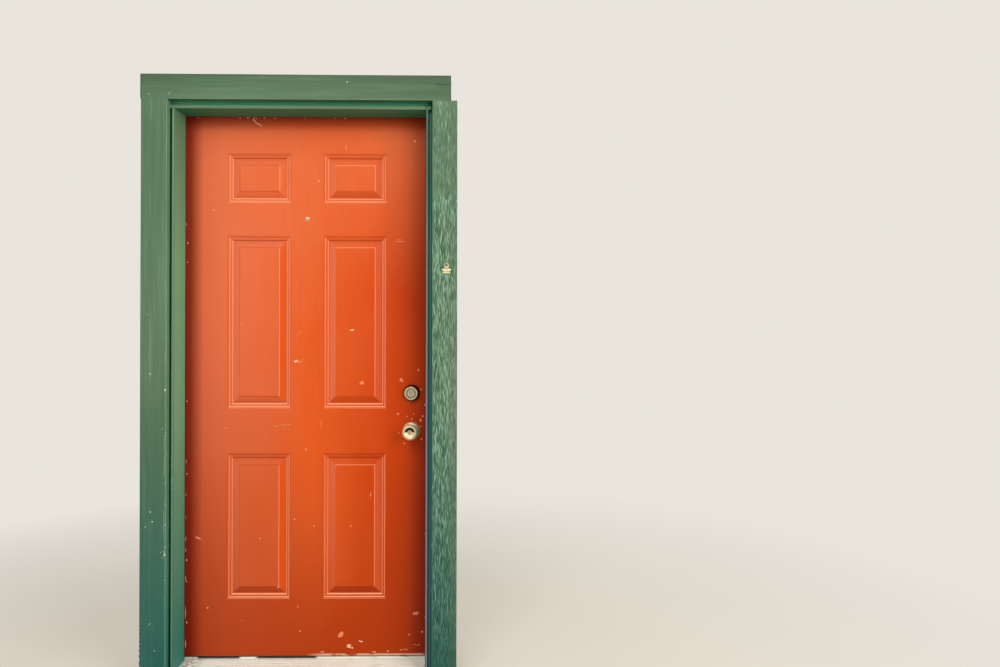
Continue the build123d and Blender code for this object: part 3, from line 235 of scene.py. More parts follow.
def doorEnamel():  # satin enamel brushed and rolled over pressed steel: faint stipple, soft dents
    paint = doorPaint
    material, shader, place = startMaterial("satin_enamel_on_pressed_steel")
    shader.inputs["Specular IOR Level"].default_value = 0.12
    tree = material.node_tree
    x, y, z = placed(tree)
    low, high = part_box("outer_skin")
    cloud = patches(place, 260, 0.35, 0.68, (1, 1, 0.55))
    strokes = patches(place, 7, 0.3, 0.7, (1, 1, 0.04))
    colour = blendColour(cloud, paint["colour"], paint["paleAndSheen"], 0.4)
    broad = [  # the brush strokes' darker paint, then painted shade on the right, a painted reflection on the left, painted shade towards the foot, a painted pool of light low in the middle, a painted sheen at the top and painted shade under the head, in metres across and up
        (strokes, "deep", 0.10),
        (overlap(ramp(x, -0.02, 0.32), ramp(z, 1.95, 1.4)), "right", 0.8),
        (ramp(x, 0.06, -0.32), "pink", 0.62),
        (overlap(ramp(x, -0.02, -0.2), band(z, 0.7, 1.25, 1.9)), "pink", 0.35),
        (overlap(ramp(x, 0.24, 0.40), ramp(z, 0.9, 1.4)), "edge", 0.26),
        (ramp(z, 1.3, 0.08), "deep", 0.5),
        (overlap(band(x, -0.14, 0.02, 0.2), band(z, 0.05, 0.62, 1.3)), "glow", 0.62),
        (overlap(ramp(z, 0.8, 0.1), ramp(y, low.y + 0.001, low.y + 0.0003)), "deep", 0.6),
        (ramp(z, 1.35, 2.0), "paleAndSheen", 0.32),
        (ramp(z, 1.86, 2.02), "deep", 0.3),
    ]
    colour = panelTones(tree, layTones(colour, paint, broad), low.y)
    rims = [  # painted shade, deep red, along the slab's edges, where the frame's recess shades them
        (ramp(x, low.x + 0.074, low.x + 0.026), "edge", 0.84),
        (ramp(x, low.x + 0.160, low.x + 0.050), "edge", 0.10),
        (ramp(x, high.x - 0.072, high.x - 0.016), "edge", 0.60),
        (ramp(x, high.x - 0.026, high.x - 0.010), "edge", 0.75),
        (ramp(z, high.z - 0.064, high.z - 0.010), "edge", 0.84),
        (overlap(ramp(x, high.x - 0.080, high.x - 0.020), ramp(z, 1.1, 0.6)), "edge", 0.45),
    ]
    sole = ramp(z, low.z + 0.009, low.z + 0.005)  # the foot, rubbed to the old coat by the cap
    worn = overlap(patches(place, 22, 0.40, 0.50, (0.35, 1, 1), 4.0), ramp(x, 0.0, 0.06))
    colour = layTones(colour, paint, rims + [(overlap(sole, worn), "worn", 0.85)])
    stipple = patches(place, paint["stipple"], 0.2, 0.8)
    dents = patches(place, paint["dent"], 0.2, 0.8, detail=1.0)
    heights = [(dents, paint["dentHeight"]), (strokes, paint["brushHeight"])]
    heights.append((stipple, paint["stippleHeight"]))
    finishSurface(shader, colour, heights, (patches(place, 60, 0.3, 0.7), 0.32, 0.46))
    return material


framePaint = {  # sizes and heights in mm; the brush strokes are coarser than real ones, so that they show
    # most tones below stand for light and shade: low, the groove tones, the lip tones, rim, the reveal
    # tones, soffit, crown and arris, and the dark line next to the slab; deep is darker paint in the
    # brush bands and painted shade
    "colour": "#597B5F",
    "faded": "#698B68",
    "olive": "#51664A",
    "low": "#1B625C",
    "deep": "#1C4C40",
    "groove": "#4AA884",
    "lockGroove": "#4A8488",
    "grooveBlue": "#3C6C92",
    "grooveTeal": "#4AA08C",
    "grooveDark": "#163C38",
    "lip": "#74A488",
    "lockLip": "#8E8C78",
    "lowLip": "#8C8FA4",
    "topLip": "#4E7C64",
    "gapShade": "#301410",
    "rim": "#1B3328",
    "reveal": "#80C496",
    "lowReveal": "#3A9A8C",
    "highReveal": "#5C8A68",
    "primer": "#DAD5C8",
    "soffit": "#2C785A",
    "crown": "#3C5B40",
    "arris": "#9CC8A4",
    "bare": "#C3A478",
    "dust": "#8A8F90",
    "flake": "#DDE3D6",
    "flakeSize": 3.2,
    "stroke": 1.8,
    "strokeHeight": 0.10,
    "wave": 45.0,
    "waveHeight": 0.5,
}

jambPlaces = {  # where a jamb's strips begin, in metres from the middle line, the floor or the street
    "lockLip": 0.4470,
    "gapShade": 0.4494,
    "groove": 0.4552,
    "stripes": ((0.4550, "grooveBlue"), (0.4596, "grooveTeal"), (0.4638, "grooveDark")),
    "back": 0.4788,
    "headLip": 2.030,
    "headGroove": 2.0502,
    "headBack": 2.0698,
    "primer": 0.0985,
    "lipEdges": (-0.4512, -0.4645),
}

boardPlaces = {  # where the painted shade sets in and where it is full at the boards' edges, and the dark line at their joint, in metres
    "leftEdge": (-0.5505, -0.5540),
    "rightEdge": (0.5560, 0.5598),
    "headEnd": (0.5345, 0.5380),
    "aboveJoint": (2.0630, 2.0636),
    "topEdge": (2.1480, 2.1518),
    "joint": (2.0608, 2.0633, 2.0650),
}


def revealTone(z):  # the lit edge towards the door, bluer near the floor
    return blendColour(ramp(z, 0.95, 0.1), framePaint["reveal"], framePaint["lowReveal"])


def jambTones(tree, colour):  # painted light on the reveal and the lips, painted shade under the head and in the groove beside the lips, and primer and bare wood on hidden faces
    paint, places = framePaint, jambPlaces
    x, y, z = placed(tree)
    wide = addNode(tree, "Math", {"operation": "ABSOLUTE"}, links={0: x}).outputs[0]
    out = facing(tree)
    # painted light on faces turned to the right, greener near the head
    reveal = blendColour(ramp(z, 1.5, 2.02), revealTone(z), paint["highReveal"], 0.8)
    inside = overlap(ramp(out["X"], 0.5, 0.9), ramp(y, 0.0002, 0.008))
    colour = blendColour(inside, colour, reveal, 0.8)
    front, top = ramp(y, 0.001, 0.0004), ramp(z, 1.6, 1.8)
    # painted shade on faces turned down, and a painted highlight along the head's lip
    headLip = overlap(front, ramp(z, places["headLip"] + 0.007, places["headLip"]))
    under = ramp(out["Z"], -0.5, -0.9)
    colour = layTones(colour, paint, [(under, "soffit", 0.9), (headLip, "lip", 0.5)])
    # the lock side's lip: painted light, cream above and greyer lower, green near the head, with a
    # painted shadow next to the slab
    gapShade = ramp(x, places["gapShade"] + 0.001, places["gapShade"])
    lockLip = blendColour(ramp(z, 1.25, 0.95), paint["lockLip"], paint["lowLip"])
    lockLip = layTones(lockLip, paint, [(top, "topLip", 1.0), (gapShade, "gapShade", 0.85)])
    lock = overlap(front, ramp(x, places["lockLip"], places["lockLip"] + 0.0002))
    colour = blendColour(lock, colour, lockLip, 0.9)
    # painted shade in the groove behind the casings: one tone for both sides, another over it on the lock
    # side, one on the head
    behind = overlap(ramp(y, 0.0004, 0.002), ramp(y, 0.03, 0.02))
    groove = places["groove"]
    sides = ((wide, groove, "deep"), (x, groove, "lockGroove"), (z, places["headGroove"], "groove"))
    for across, start, tone in sides:
        beyond = ramp(across, start, start + 0.0006)
        colour = blendColour(overlap(behind, beyond), colour, paint[tone], 0.85)
    # bands of painted light and shade across the lock side's groove
    inGroove = overlap(behind, ramp(x, groove, groove + 0.0002))
    for start, tone in places["stripes"]:
        stripe = overlap(inGroove, ramp(x, start, start + 0.0012))
        colour = blendColour(stripe, colour, paint[tone], 0.7)
    # more painted shade high in the lock side's groove, then primer and bare wood on hidden faces
    hidden = [
        (overlap(behind, ramp(x, groove, groove + 0.0006), top), "deep", 0.5),
        (ramp(y, places["primer"], places["primer"] + 0.0015), "primer", 1.0),
        (ramp(wide, places["back"], places["back"] + 0.0001), "bare", 1.0),
        (ramp(z, places["headBack"], places["headBack"] + 0.0001), "bare", 1.0),
    ]
    return layTones(colour, paint, hidden)


def boardTones(tree, colour):  # painted shade on the head, a lit edge towards the door, painted shade on the outer rims, painted highlights and shade on the arrises
    places, own, out = boardPlaces, placed(tree), facing(tree)
    x, z = own["X"], own["Z"]
    # the head darker towards its top and its right end: painted shade
    head = [
        (ramp(z, 2.07, 2.15), "crown", 0.75),
        (overlap(ramp(x, 0.1, 0.5), ramp(z, 2.062, 2.066)), "crown", 0.65),
    ]
    colour = layTones(colour, framePaint, head)
    # painted light on faces turned to the right
    colour = blendColour(ramp(out["X"], 0.6, 0.9), colour, revealTone(z), 0.5)
    edges = [  # painted shade on the hinge side and along the boards' outer edges, then a dark line along their joint
        (overlap(ramp(x, -0.30, -0.47), ramp(z, 0.5, 0.9)), "crown", 0.2),
        (ramp(x, *places["leftEdge"]), "rim", 0.7),
        (ramp(x, *places["rightEdge"]), "rim", 0.75),
        (overlap(ramp(x, *places["headEnd"]), ramp(z, *places["aboveJoint"])), "rim", 0.75),
        (ramp(z, *places["topEdge"]), "rim", 0.65),
        (band(z, *places["joint"]), "rim", 0.5),
    ]
    # painted highlights on arrises turned right and down, painted shade on those turned left and up
    arrises = [("X", 1, "arris", 0.5), ("Z", -1, "arris", 0.6)]
    arrises += [("X", -1, "deep", 0.7), ("Z", 1, "deep", 0.8)]
    for axis, way, tone, strength in arrises:
        edges.append((band(out[axis], way * 0.2, way * 0.6, way * 0.95), tone, strength))
    return layTones(colour, framePaint, edges)


def frameEnamel(name, along):  # thick brushed enamel on softwood: strokes run along the board
    paint = framePaint
    material, shader, place = startMaterial(name)
    shader.inputs["Specular IOR Level"].default_value = 0.22
    tree = material.node_tree
    own = placed(tree)
    stretch, slow = drawnOut(along, 0.035), drawnOut(along, 0.2)
    strokes = patches(place, paint["stroke"], 0.25, 0.75, stretch)
    bands = patches(place, 9, 0.3, 0.75, stretch)
    colour = blendColour(patches(place, 120, 0.35, 0.7, slow), paint["colour"], paint["faded"], 0.55)
    toneAndShade = [
        (patches(place, 210, 0.45, 0.75, slow), "olive", 0.6),
        (bands, "deep", 0.14),
        # painted shade, teal, towards the floor
        (ramp(own["Z"], 1.05, 0.1), "low", 0.95),
    ]
    tones = jambTones if name.endswith("softwood") else boardTones
    colour = tones(tree, layTones(colour, paint, toneAndShade))
    worn = patches(place, paint["flakeSize"], 0.60, 0.63, (1.3, 1.3, 0.55), 2.0)
    reach = band(own["Z"], 0.15, 0.5, 1.5)
    for edge in jambPlaces["lipEdges"]:  # flakes lost along the lip's two edges on the hinge side
        near = band(own["X"], edge - 0.0022, edge, edge + 0.0022)
        colour = blendColour(overlap(near, reach, worn), colour, paint["flake"])
    waves = patches(place, paint["wave"], 0.2, 0.8, slow)
    heights = [(waves, paint["waveHeight"]), (strokes, paint["strokeHeight"])]
    finishSurface(shader, colour, heights, (bands, 0.34, 0.5))
    return material


def boardEnamel(name, along, crevice, ridge, depth):
    # the same paint over a board whose mesh is already rough: crevices darker with dirt and painted
    # shade, high fibres paler with wear and a painted highlight
    material = frameEnamel(name, along)
    tree = material.node_tree
    shader = tree.nodes["Principled BSDF"]
    colour = shader.inputs["Base Color"].links[0].from_socket
    fibreRelief = addNode(tree, "Attribute", {"attribute_name": "fibreRelief"}).outputs["Fac"]
    place = addNode(tree, "TexCoord").outputs["Object"]
    own = placed(tree)
    x, z = own["X"], own["Z"]
    # dirt and painted shade in the crevices; wear and a painted highlight on the high fibres, more
    # towards the top
    colour = blendColour(ramp(fibreRelief, 0.5, 0.24), colour, crevice, depth)
    worn = overlap(ramp(fibreRelief, 0.54, 0.8), ramp(z, -0.2, 0.9))
    colour = blendColour(worn, colour, ridge, depth * 0.9)
    outer = overlap(ramp(x, 0.50, 0.56), band(z, 0.5, 1.0, 1.5))
    lockSide = ramp(x, 0.45, 0.46)
    # dust on the strike board's outer part, painted shade at its foot, olive at its outer edge, bare wood
    # on the back
    toneAndShade = [
        (overlap(outer, patches(place, 4, 0.4, 0.62, (1, 1, 0.5))), "dust", 0.75),
        (overlap(ramp(z, 0.38, 0.1), lockSide), "deep", 0.4),
        (overlap(ramp(x, 0.52, 0.56), lockSide), "olive", 0.45),
        (ramp(facing(tree)["Y"], 0.5, 0.9), "bare", 1.0),  # the back, against the wall
    ]
    tree.links.new(layTones(colour, framePaint, toneAndShade), shader.inputs["Base Color"])
    return material


sillFinish = {
    "colour": "#FAFDF4",
    "stain": "#DDD3C4",
    "gap": "#140A06",
    "bare": "#9A948A",
    "grime": "#5C5142",
    "gapReaches": ((-0.40, -0.25), (-0.185, 0.036)),
    "gapLine": (0.1190, 0.1105),
}


def sillPaint():  # chalky oil paint on an extruded deck, rubbed through to dull metal on the ribs
    finish = sillFinish
    material, shader, place = startMaterial("worn_oil_paint_on_extrusion")
    shader.inputs["Specular IOR Level"].default_value = 0.25
    stains = patches(place, 70, 0.45, 0.72, (0.5, 1, 1))
    colour = blendColour(stains, finish["colour"], finish["stain"], 0.25)
    scuffs = patches(place, 9, 0.60, 0.68, (0.12, 1, 1), 5.0)
    colour = blendColour(scuffs, colour, finish["grime"], 0.26)
    corner = ramp(placed(material.node_tree)["X"], -0.36, -0.43)
    peel = patches(place, 11, 0.44, 0.54, (0.7, 1, 1), 4.0)
    colour = blendColour(overlap(corner, peel), colour, finish["bare"], 0.9)
    heights = [(patches(place, 6, 0.3, 0.7), 0.15), (peel, 0.12)]
    finishSurface(shader, colour, heights, (stains, 0.45, 0.7))
    return material


def capPaint():  # the same cream paint, brushed on the hardwood cap
    finish = sillFinish
    material, shader, place = startMaterial("cream_paint_on_hardwood")
    shader.inputs["Specular IOR Level"].default_value = 0.15
    grain = patches(place, 2.4, 0.3, 0.7, (0.03, 1, 1))
    colour = blendColour(grain, finish["colour"], finish["stain"], 0.4)
    wear = patches(place, 22, 0.56, 0.66, (0.4, 1, 1), 5.0)
    colour = blendColour(wear, colour, finish["grime"], 0.35)
    tree = material.node_tree
    own = placed(tree)
    wobble = patches(place, 26, 0.3, 0.7, (0.6, 1, 1))
    links = {0: wobble, 2: own["Y"]}
    shift = addNode(tree, "Math", {"operation": "MULTIPLY_ADD"}, {1: 0.006}, links).outputs[0]
    for start, end in finish["gapReaches"]:  # painted shadow under the door, along the line where it shuts
        reach = ramp(band(own["X"], start - 0.010, (start + end) / 2, end + 0.010), 0.02, 0.14)
        shadowed = overlap(reach, ramp(shift, *finish["gapLine"]))
        colour = blendColour(shadowed, colour, finish["gap"], 0.93)
    finishSurface(shader, colour, [(grain, 0.12), (wear, 0.1)], (wear, 0.42, 0.65))
    return material


def innerPaint():  # plain white enamel on the room side of the slab
    material, shader, place = startMaterial("white_enamel_on_pressed_steel")
    cloud = patches(place, 240, 0.35, 0.7)
    colour = blendColour(cloud, "#E6E1D6", "#D8D1C2", 0.6)
    heights = [(patches(place, 160, 0.2, 0.8), 0.35), (patches(place, 2.6, 0.2, 0.8), 0.05)]
    finishSurface(shader, colour, heights, (cloud, 0.4, 0.5))
    return material


# Timber, foam and seals


def bareTimber(name, along, light, dark, grainWidth):  # sawn softwood: growth bands and pores
    material, shader, place = startMaterial(name)
    stretch = drawnOut(along, 0.03)
    bands = patches(place, grainWidth * 6, 0.35, 0.65, stretch, 4.0, 1.2)
    pores = patches(place, grainWidth, 0.4, 0.75, stretch)
    colour = blendColour(bands, light, dark, 0.7)
    colour = blendColour(pores, colour, dark, 0.35)
    finishSurface(shader, colour, [(bands, 0.15), (pores, 0.12)], (bands, 0.7, 0.85))
    return material


def foamCore():  # rigid polyurethane foam: fine open cells where it is cut
    material, shader, place = startMaterial("rigid_polyurethane_foam", Roughness=0.92)
    cells = patches(place, 1.6, 0.4, 0.6)  # mm; the real ones are a fifth of that and wouldn't show
    colour = blendColour(cells, "#E8DBA8", "#CDBD84", 0.6)
    finishSurface(shader, colour, [(cells, 0.25)])
    return material


def sealFoam():  # vinyl-skinned foam weatherstrip: faint sheen, dusty
    material, shader, place = startMaterial("vinyl_skinned_foam_seal")
    dust = patches(place, 30, 0.45, 0.7)
    colour = blendColour(dust, "#3A332B", "#6E6456", 0.5)
    finishSurface(shader, colour, [(patches(place, 3, 0.2, 0.8), 0.08)], (dust, 0.5, 0.8))
    return material


def sweepVinyl():  # extruded vinyl sweep: long draw lines, scuffed fins
    material, shader, place = startMaterial("extruded_vinyl_sweep")
    drawn = patches(place, 1.2, 0.3, 0.7, (0.02, 1, 1))
    colour = blendColour(drawn, "#26221F", "#453D36", 0.5)
    finishSurface(shader, colour, [(drawn, 0.06)], (drawn, 0.45, 0.7))
    return material


# Metals and glass


brassFinish = {  # bright, dull and dark tones, then places and distances in metres
    "knob": ("#FFF6D6", "#D6C79C", "#6E5C38"),
    "collar": ("#E4DAB4", "#A8996C", "#4E4430"),
    "inner": ("#CDB67A", "#9A7F47", "#56431F"),
    "viewer": ("#EFE3C2", "#C2AF82", "#6A5836"),
    "clip": ("#F6F2CE", "#DDD6A2", "#6E6238"),
    "plug": ("#E6DFC4", "#ADA480", "#5C5440"),
    # the dark that darken lays: painted shade, with old dirt
    "grime": "#241B10",
    "knobAxis": (0.387, 0.877),
    "boltAxis": (0.387, 1.0167),
    "dishRing": (0.006, 0.0140, 0.0205),
    "collarGap": (0.0125, 0.0150, 0.0172),
    "plugRings": ((0.0052, 0.0066, 0.0082), (0.0112, 0.0142, 0.0168)),
    "slotHalf": 0.0022,
    "slotReach": (0.0055, 0.0045),
    "clipSeam": (1.4546, 1.4562, 1.4578),
    "clipEye": (0.524, 1.4785),
    "clipEyeEdge": (0.0052, 0.0040),
}


def tarnishedBrass(name, tones, patch, smooth, rough, metallic=1.0):
    # thin brass plate handled for years: bright where rubbed, brown in the patches, finely scratched
    bright, dull, dark = tones
    material, shader, place = startMaterial(name, Metallic=metallic)
    wear = patches(place, patch, 0.38, 0.62, detail=5.0)
    spots = patches(place, patch * 0.22, 0.58, 0.68, detail=4.0)
    colour = blendColour(wear, bright, dull, 0.7)
    colour = blendColour(spots, colour, dark, 0.6)
    scratches = patches(place, 0.5, 0.35, 0.65, (1, 1, 0.12))  # coarser than real ones, to show
    heights = [(wear, 0.03), (spots, 0.04), (scratches, 0.012)]
    finishSurface(shader, colour, heights, (wear, smooth, rough))
    return material


def axisDistance(tree, axis):  # how far a place lies from a knob's or a lock's own axis
    place = addNode(tree, "TexCoord").outputs["Object"]
    centre = {"Location": (-axis[0], 0, -axis[1]), "Scale": (1, 0, 1)}
    flat = addNode(tree, "Mapping", values=centre, links={"Vector": place}).outputs[0]
    return addNode(tree, "VectorMath", {"operation": "LENGTH"}, links={0: flat}).outputs["Value"]


def darken(material, mask, strength):  # painted shade, with old polish and dirt, laid over a finish where a mask says
    tree = material.node_tree
    base = tree.nodes["Principled BSDF"].inputs["Base Color"]
    colour = blendColour(mask, base.links[0].from_socket, brassFinish["grime"], strength)
    tree.links.new(colour, base)


def knobBrass():  # the knob's plate, with painted shade on the upper wall of the dished end and round its neck
    axis = brassFinish["knobAxis"]
    material = tarnishedBrass("worn_plate_on_spun_brass_knob", brassFinish["knob"], 14, 0.32, 0.5, 0.6)
    tree = material.node_tree
    own = placed(tree)
    y, z = own["Y"], own["Z"]
    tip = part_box("outer_knob")[0].y
    inside = overlap(ramp(y, tip + 0.0006, tip + 0.0018), ramp(y, tip + 0.020, tip + 0.016))
    ring = ramp(band(axisDistance(tree, axis), *brassFinish["dishRing"]), 0.0, 0.55)
    upper = ramp(z, axis[1] - 0.001, axis[1] + 0.003)
    # painted shade on the dished end's upper wall
    darken(material, overlap(ring, inside, upper), 1.0)
    # painted shade round the neck, between knob and rose
    darken(material, band(y, tip + 0.030, tip + 0.043, tip + 0.056), 0.75)
    return material


def collarBrass():  # a cast collar: plate kept on its face, with painted shade, black, on the tapered side and in a ring round the plug
    material = tarnishedBrass("worn_plate_on_cast_collar", brassFinish["collar"], 12, 0.30, 0.5)
    tree = material.node_tree
    darken(material, ramp(facing(tree)["Y"], -0.85, -0.6), 0.92)
    away = axisDistance(tree, brassFinish["boltAxis"])
    darken(material, band(away, *brassFinish["collarGap"]), 0.95)
    return material


def clipBrass():  # pressed plates, with painted shade along their seam and in the eye
    name = "tarnished_brassed_spring_steel"
    material = tarnishedBrass(name, brassFinish["clip"], 6, 0.3, 0.5, 0.7)
    tree = material.node_tree
    darken(material, band(placed(tree)["Z"], *brassFinish["clipSeam"]), 0.9)
    eye = ramp(axisDistance(tree, brassFinish["clipEye"]), *brassFinish["clipEyeEdge"])
    darken(material, eye, 0.8)
    return material


def plugBrass():  # key plugs of dull nickel silver, with dirt and painted shade in their rings and keyway
    brass = brassFinish
    material = tarnishedBrass("dull_nickel_on_brass_plug", brass["plug"], 6, 0.3, 0.45, 0.8)
    tree = material.node_tree
    x, half = placed(tree)["X"], brass["slotHalf"]
    for centre in (brass["boltAxis"], brass["knobAxis"]):
        away = axisDistance(tree, centre)
        for ring in brass["plugRings"]:
            darken(material, band(away, *ring), 0.9)
        slot = band(x, centre[0] - half, centre[0], centre[0] + half)
        darken(material, overlap(slot, ramp(away, *brass["slotReach"])), 0.95)
    return material


def platedSteel(name, colour, dull, smooth, rough, along):  # drawn or pressed steel under thin plate
    material, shader, place = startMaterial(name, Metallic=1.0)
    lines = patches(place, 0.7, 0.3, 0.7, drawnOut(along, 0.05))  # coarser than real ones, to show
    haze = patches(place, 14, 0.4, 0.65)
    tone = blendColour(haze, colour, dull, 0.6)
    finishSurface(shader, tone, [(lines, 0.015)], (haze, smooth, rough))
    return material


def viewerGlass():  # a small ground lens, dusty outside
    material, shader, place = startMaterial("ground_optical_glass", IOR=1.52)
    shader.inputs["Transmission Weight"].default_value = 0.6
    dust = patches(place, 3, 0.45, 0.7)
    colour = blendColour(dust, "#E6DECC", "#A89C84", 0.5)
    finishSurface(shader, colour, roughness=(dust, 0.04, 0.3))
    return material


# Marks in the paint


markPaints = {  # name, patch in mm, two tones, the second's share, height in mm, two roughnesses
    # the old pale coat that shows where the orange has come off
    "chip": ("old_cream_primer", 3, "#F6D2B4", "#F0A680", 0.7, 0.05, 0.6, 0.8),
    # orange rubbed thin: paler and matt
    "rubbed": ("rubbed_orange_enamel", 4, "#E88E68", "#DE7A50", 0.8, 0.04, 0.5, 0.7),
    # white specks and flakes on the green paint
    "flake": ("flaked_undercoat", 3, "#E4E6DA", "#A9BBA2", 0.6, 0.05, 0.6, 0.8),
    # cracks and dents that hold shadow and dirt in the green paint
    "crack": ("shade_and_dirt_in_a_crack", 2, "#1F3A30", "#35584A", 0.6, 0.05, 0.7, 0.9),
    # the bluish run below the clip
    "stain": ("verdigris_stain", 5, "#7FA6A8", "#6A9480", 0.8, 0.03, 0.5, 0.7),
    # drips of the same green that dried proud and pale
    "run": ("dried_paint_run", 6, "#7FA183", "#6B8F70", 0.7, 0.1, 0.35, 0.5),
}


def markPaint(name, patch, first, second, share, height, smooth, rough):  # a thin flake, clouded
    material, shader, place = startMaterial(name)
    cloud = patches(place, patch, 0.4, 0.65)
    colour = blendColour(cloud, first, second, share)
    finishSurface(shader, colour, [(cloud, height)], (cloud, smooth, rough))
    return material


finishes = {
    "orange": doorEnamel(),
    "white": innerPaint(),
    "greenUpright": frameEnamel("brushed_enamel_on_upright_softwood", "Z"),
    "greenLevel": frameEnamel("brushed_enamel_on_level_softwood", "X"),
    "plainBoard": boardEnamel("brushed_enamel_on_planed_board", "Z", "#234E46", "#8FB8A0", 0.24),
    "headBoard": boardEnamel("brushed_enamel_on_head_board", "X", "#2F5A49", "#86A785", 0.1),
    "sawnBoard": boardEnamel("thick_enamel_on_rough_sawn_board", "Z", "#1E4A42", "#9CC6B2", 0.74),
    "sill": sillPaint(),
    "cap": capPaint(),
    "stile": bareTimber("laminated_softwood_upright", "Z", "#D8BC8A", "#A98450", 1.6),
    "rail": bareTimber("laminated_softwood_level", "X", "#D8BC8A", "#A98450", 1.6),
    "sillTimber": bareTimber("treated_sill_timber", "X", "#A89468", "#74653F", 2.2),
    "foam": foamCore(),
    "seal": sealFoam(),
    "sweep": sweepVinyl(),
    "knobBrass": knobBrass(),
    "collarBrass": collarBrass(),
    "innerBrass": tarnishedBrass("lacquered_spun_brass", brassFinish["inner"], 20, 0.22, 0.36),
    "plug": plugBrass(),
    "viewerBrass": tarnishedBrass("turned_brass_viewer", brassFinish["viewer"], 6, 0.25, 0.42, 0.7),
    "clipBrass": clipBrass(),
    "lockSteel": platedSteel("zinc_plated_pressed_steel", "#B9B6AE", "#8B887F", 0.28, 0.45, "X"),
    "hingeSteel": platedSteel("satin_plated_hinge_steel", "#B5AE9F", "#857D6E", 0.3, 0.48, "Z"),
    "screwSteel": platedSteel("bright_zinc_on_screws", "#BDBBB4", "#8E8C84", 0.3, 0.45, "X"),
    "glass": viewerGlass(),
}
for key, row in markPaints.items():
    finishes[key] = markPaint(*row)
print("stage: materials made,", len(finishes))

nodeFinish = {  # each CAD node's finish
    "outer_skin": "orange", "inner_skin": "white",
    "hinge_jamb": "greenUpright", "strike_jamb": "greenUpright", "head_jamb": "greenLevel",
    "hinge_side_casing": "greenUpright", "strike_side_casing": "greenUpright",
    "head_casing": "greenLevel", "casing_nails": "screwSteel",
    "sill_base": "sillTimber", "sill_deck": "sill", "threshold_cap": "cap",
    "hinge_side_seal": "seal", "strike_side_seal": "seal", "head_seal": "seal",
    "hinge_pins": "hingeSteel", "frame_screws": "screwSteel", "door_screws": "screwSteel",
    "latch_strike": "lockSteel", "deadbolt_strike": "lockSteel",
    "hinge_stile": "stile", "lock_stile": "stile", "lock_block": "stile",
    "top_rail": "rail", "bottom_rail": "rail", "foam_core": "foam", "door_sweep": "sweep",
    "latch_case": "lockSteel", "latch_bolt": "lockSteel", "deadbolt_case": "lockSteel",
    "deadbolt_bolt": "lockSteel", "deadbolt_cam": "lockSteel", "knob_spindle": "lockSteel",
    "outer_rose": "knobBrass", "outer_knob": "knobBrass", "deadbolt_collar": "collarBrass",
    "inner_rose": "innerBrass", "inner_knob": "innerBrass", "turn_button": "innerBrass",
    "deadbolt_inner_rose": "innerBrass", "thumbturn": "innerBrass",
    "knob_key_plug": "plug", "deadbolt_key_plug": "plug", "deadbolt_cylinder": "plug",
    "rose_screws": "screwSteel", "deadbolt_screws": "screwSteel",
    "peephole_barrel": "viewerBrass", "peephole_sleeve": "viewerBrass", "peephole_lens": "glass",
    "clip_back_plate": "clipBrass", "clip_front_plate": "clipBrass", "clip_pin": "clipBrass",
    "clip_spring": "lockSteel", "clip_nail": "screwSteel",
}
for height in ("upper", "middle", "lower"):
    for half in ("frame", "door"):
        nodeFinish[f"{height}_{half}_leaf"] = "hingeSteel"

for name, item in nodes.items():
    item.data.materials.clear()
    item.data.materials.append(finishes[nodeFinish[name]])
print("stage: CAD nodes finished")


# Casing boards with the grain that shows through their paint


rightBoard = {  # sizes in mm, but places in metres, and axes as 0, 1 and 2
    "node": "strike_side_casing",
    "finish": "sawnBoard",
    "fibreWidth": 2.6,
    "fibreLength": 30.0,
    "fibreDepth": 1.3,
    "fineWidth": 1.7,
    "fineLength": 16.0,
    "fineDepth": 1.0,
    "sway": 9.0,
    "smoothEdge": 12.0,
    "smoothTop": 1.72,
    "pressedFrom": (0.503, 1.445),
    "pressedTo": (0.545, 1.494),
    "along": 2,
    "ease": 2.2,
    "alongCuts": (6, 69),
    "acrossCuts": 96,
}

leftBoard = {  # planed: long, shallow grain
    "node": "hinge_side_casing",
    "finish": "plainBoard",
    "fibreWidth": 9.0,
    "fibreLength": 260.0,
    "fibreDepth": 0.35,
    "fineWidth": 3.0,
    "fineLength": 60.0,
    "fineDepth": 0.12,
    "sway": 4.0,
    "smoothEdge": 0.0,
    "along": 2,
    "ease": 2.6,
    "alongCuts": (9, 79),
    "acrossCuts": 44,
}

topBoard = {  # planed too, with its grain lying level
    "node": "head_casing",
    "finish": "headBoard",
    "fibreWidth": 10.0,
    "fibreLength": 300.0,
    "fibreDepth": 0.35,
    "fineWidth": 3.2,
    "fineLength": 50.0,
    "fineDepth": 0.12,
    "sway": 4.0,
    "smoothEdge": 0.0,
    "along": 0,
    "ease": 2.6,
    "alongCuts": (5, 31),
    "acrossCuts": 36,
}

knotSwirl = {  # the flat-sawn figure at the foot of the left board: places in metres, rings in mm
    "x": -0.452,
    "z": 0.02,
    "ring": 8.6,
    "depth": 1.0,
    "reach": 0.24,
    "side": -0.490,
    "fade": 0.014,
}


def fibreHeight(board, across, along):  # relief in mm of the torn or planed fibres at a place in mm
    sway = board["sway"] * noise.noise(Vector((along / 70, across / 40, 3.1)))
    place = across + sway
    wide = noise.noise(Vector((place / board["fibreWidth"], along / board["fibreLength"], 0.7)))
    fine = noise.noise(Vector((place / board["fineWidth"], along / board["fineLength"], 5.3)))
    return wide * board["fibreDepth"] + fine * board["fineDepth"]


def swirlHeight(x, z):  # rings round a knot, kept to the board's outer part near the floor
    swirl = knotSwirl
    away = math.hypot((x - swirl["x"]) * 1.2, (z - swirl["z"]) * 0.85)
    ring = math.sin(away * 1000 / swirl["ring"] * 2 * math.pi)
    fade = max(0.0, 1 - abs(z - swirl["z"]) / swirl["reach"])
    side = min(1.0, max(0.0, (swirl["side"] - x) / swirl["fade"]))
    return ring * swirl["depth"] * min(1.0, fade * 2.2) * side


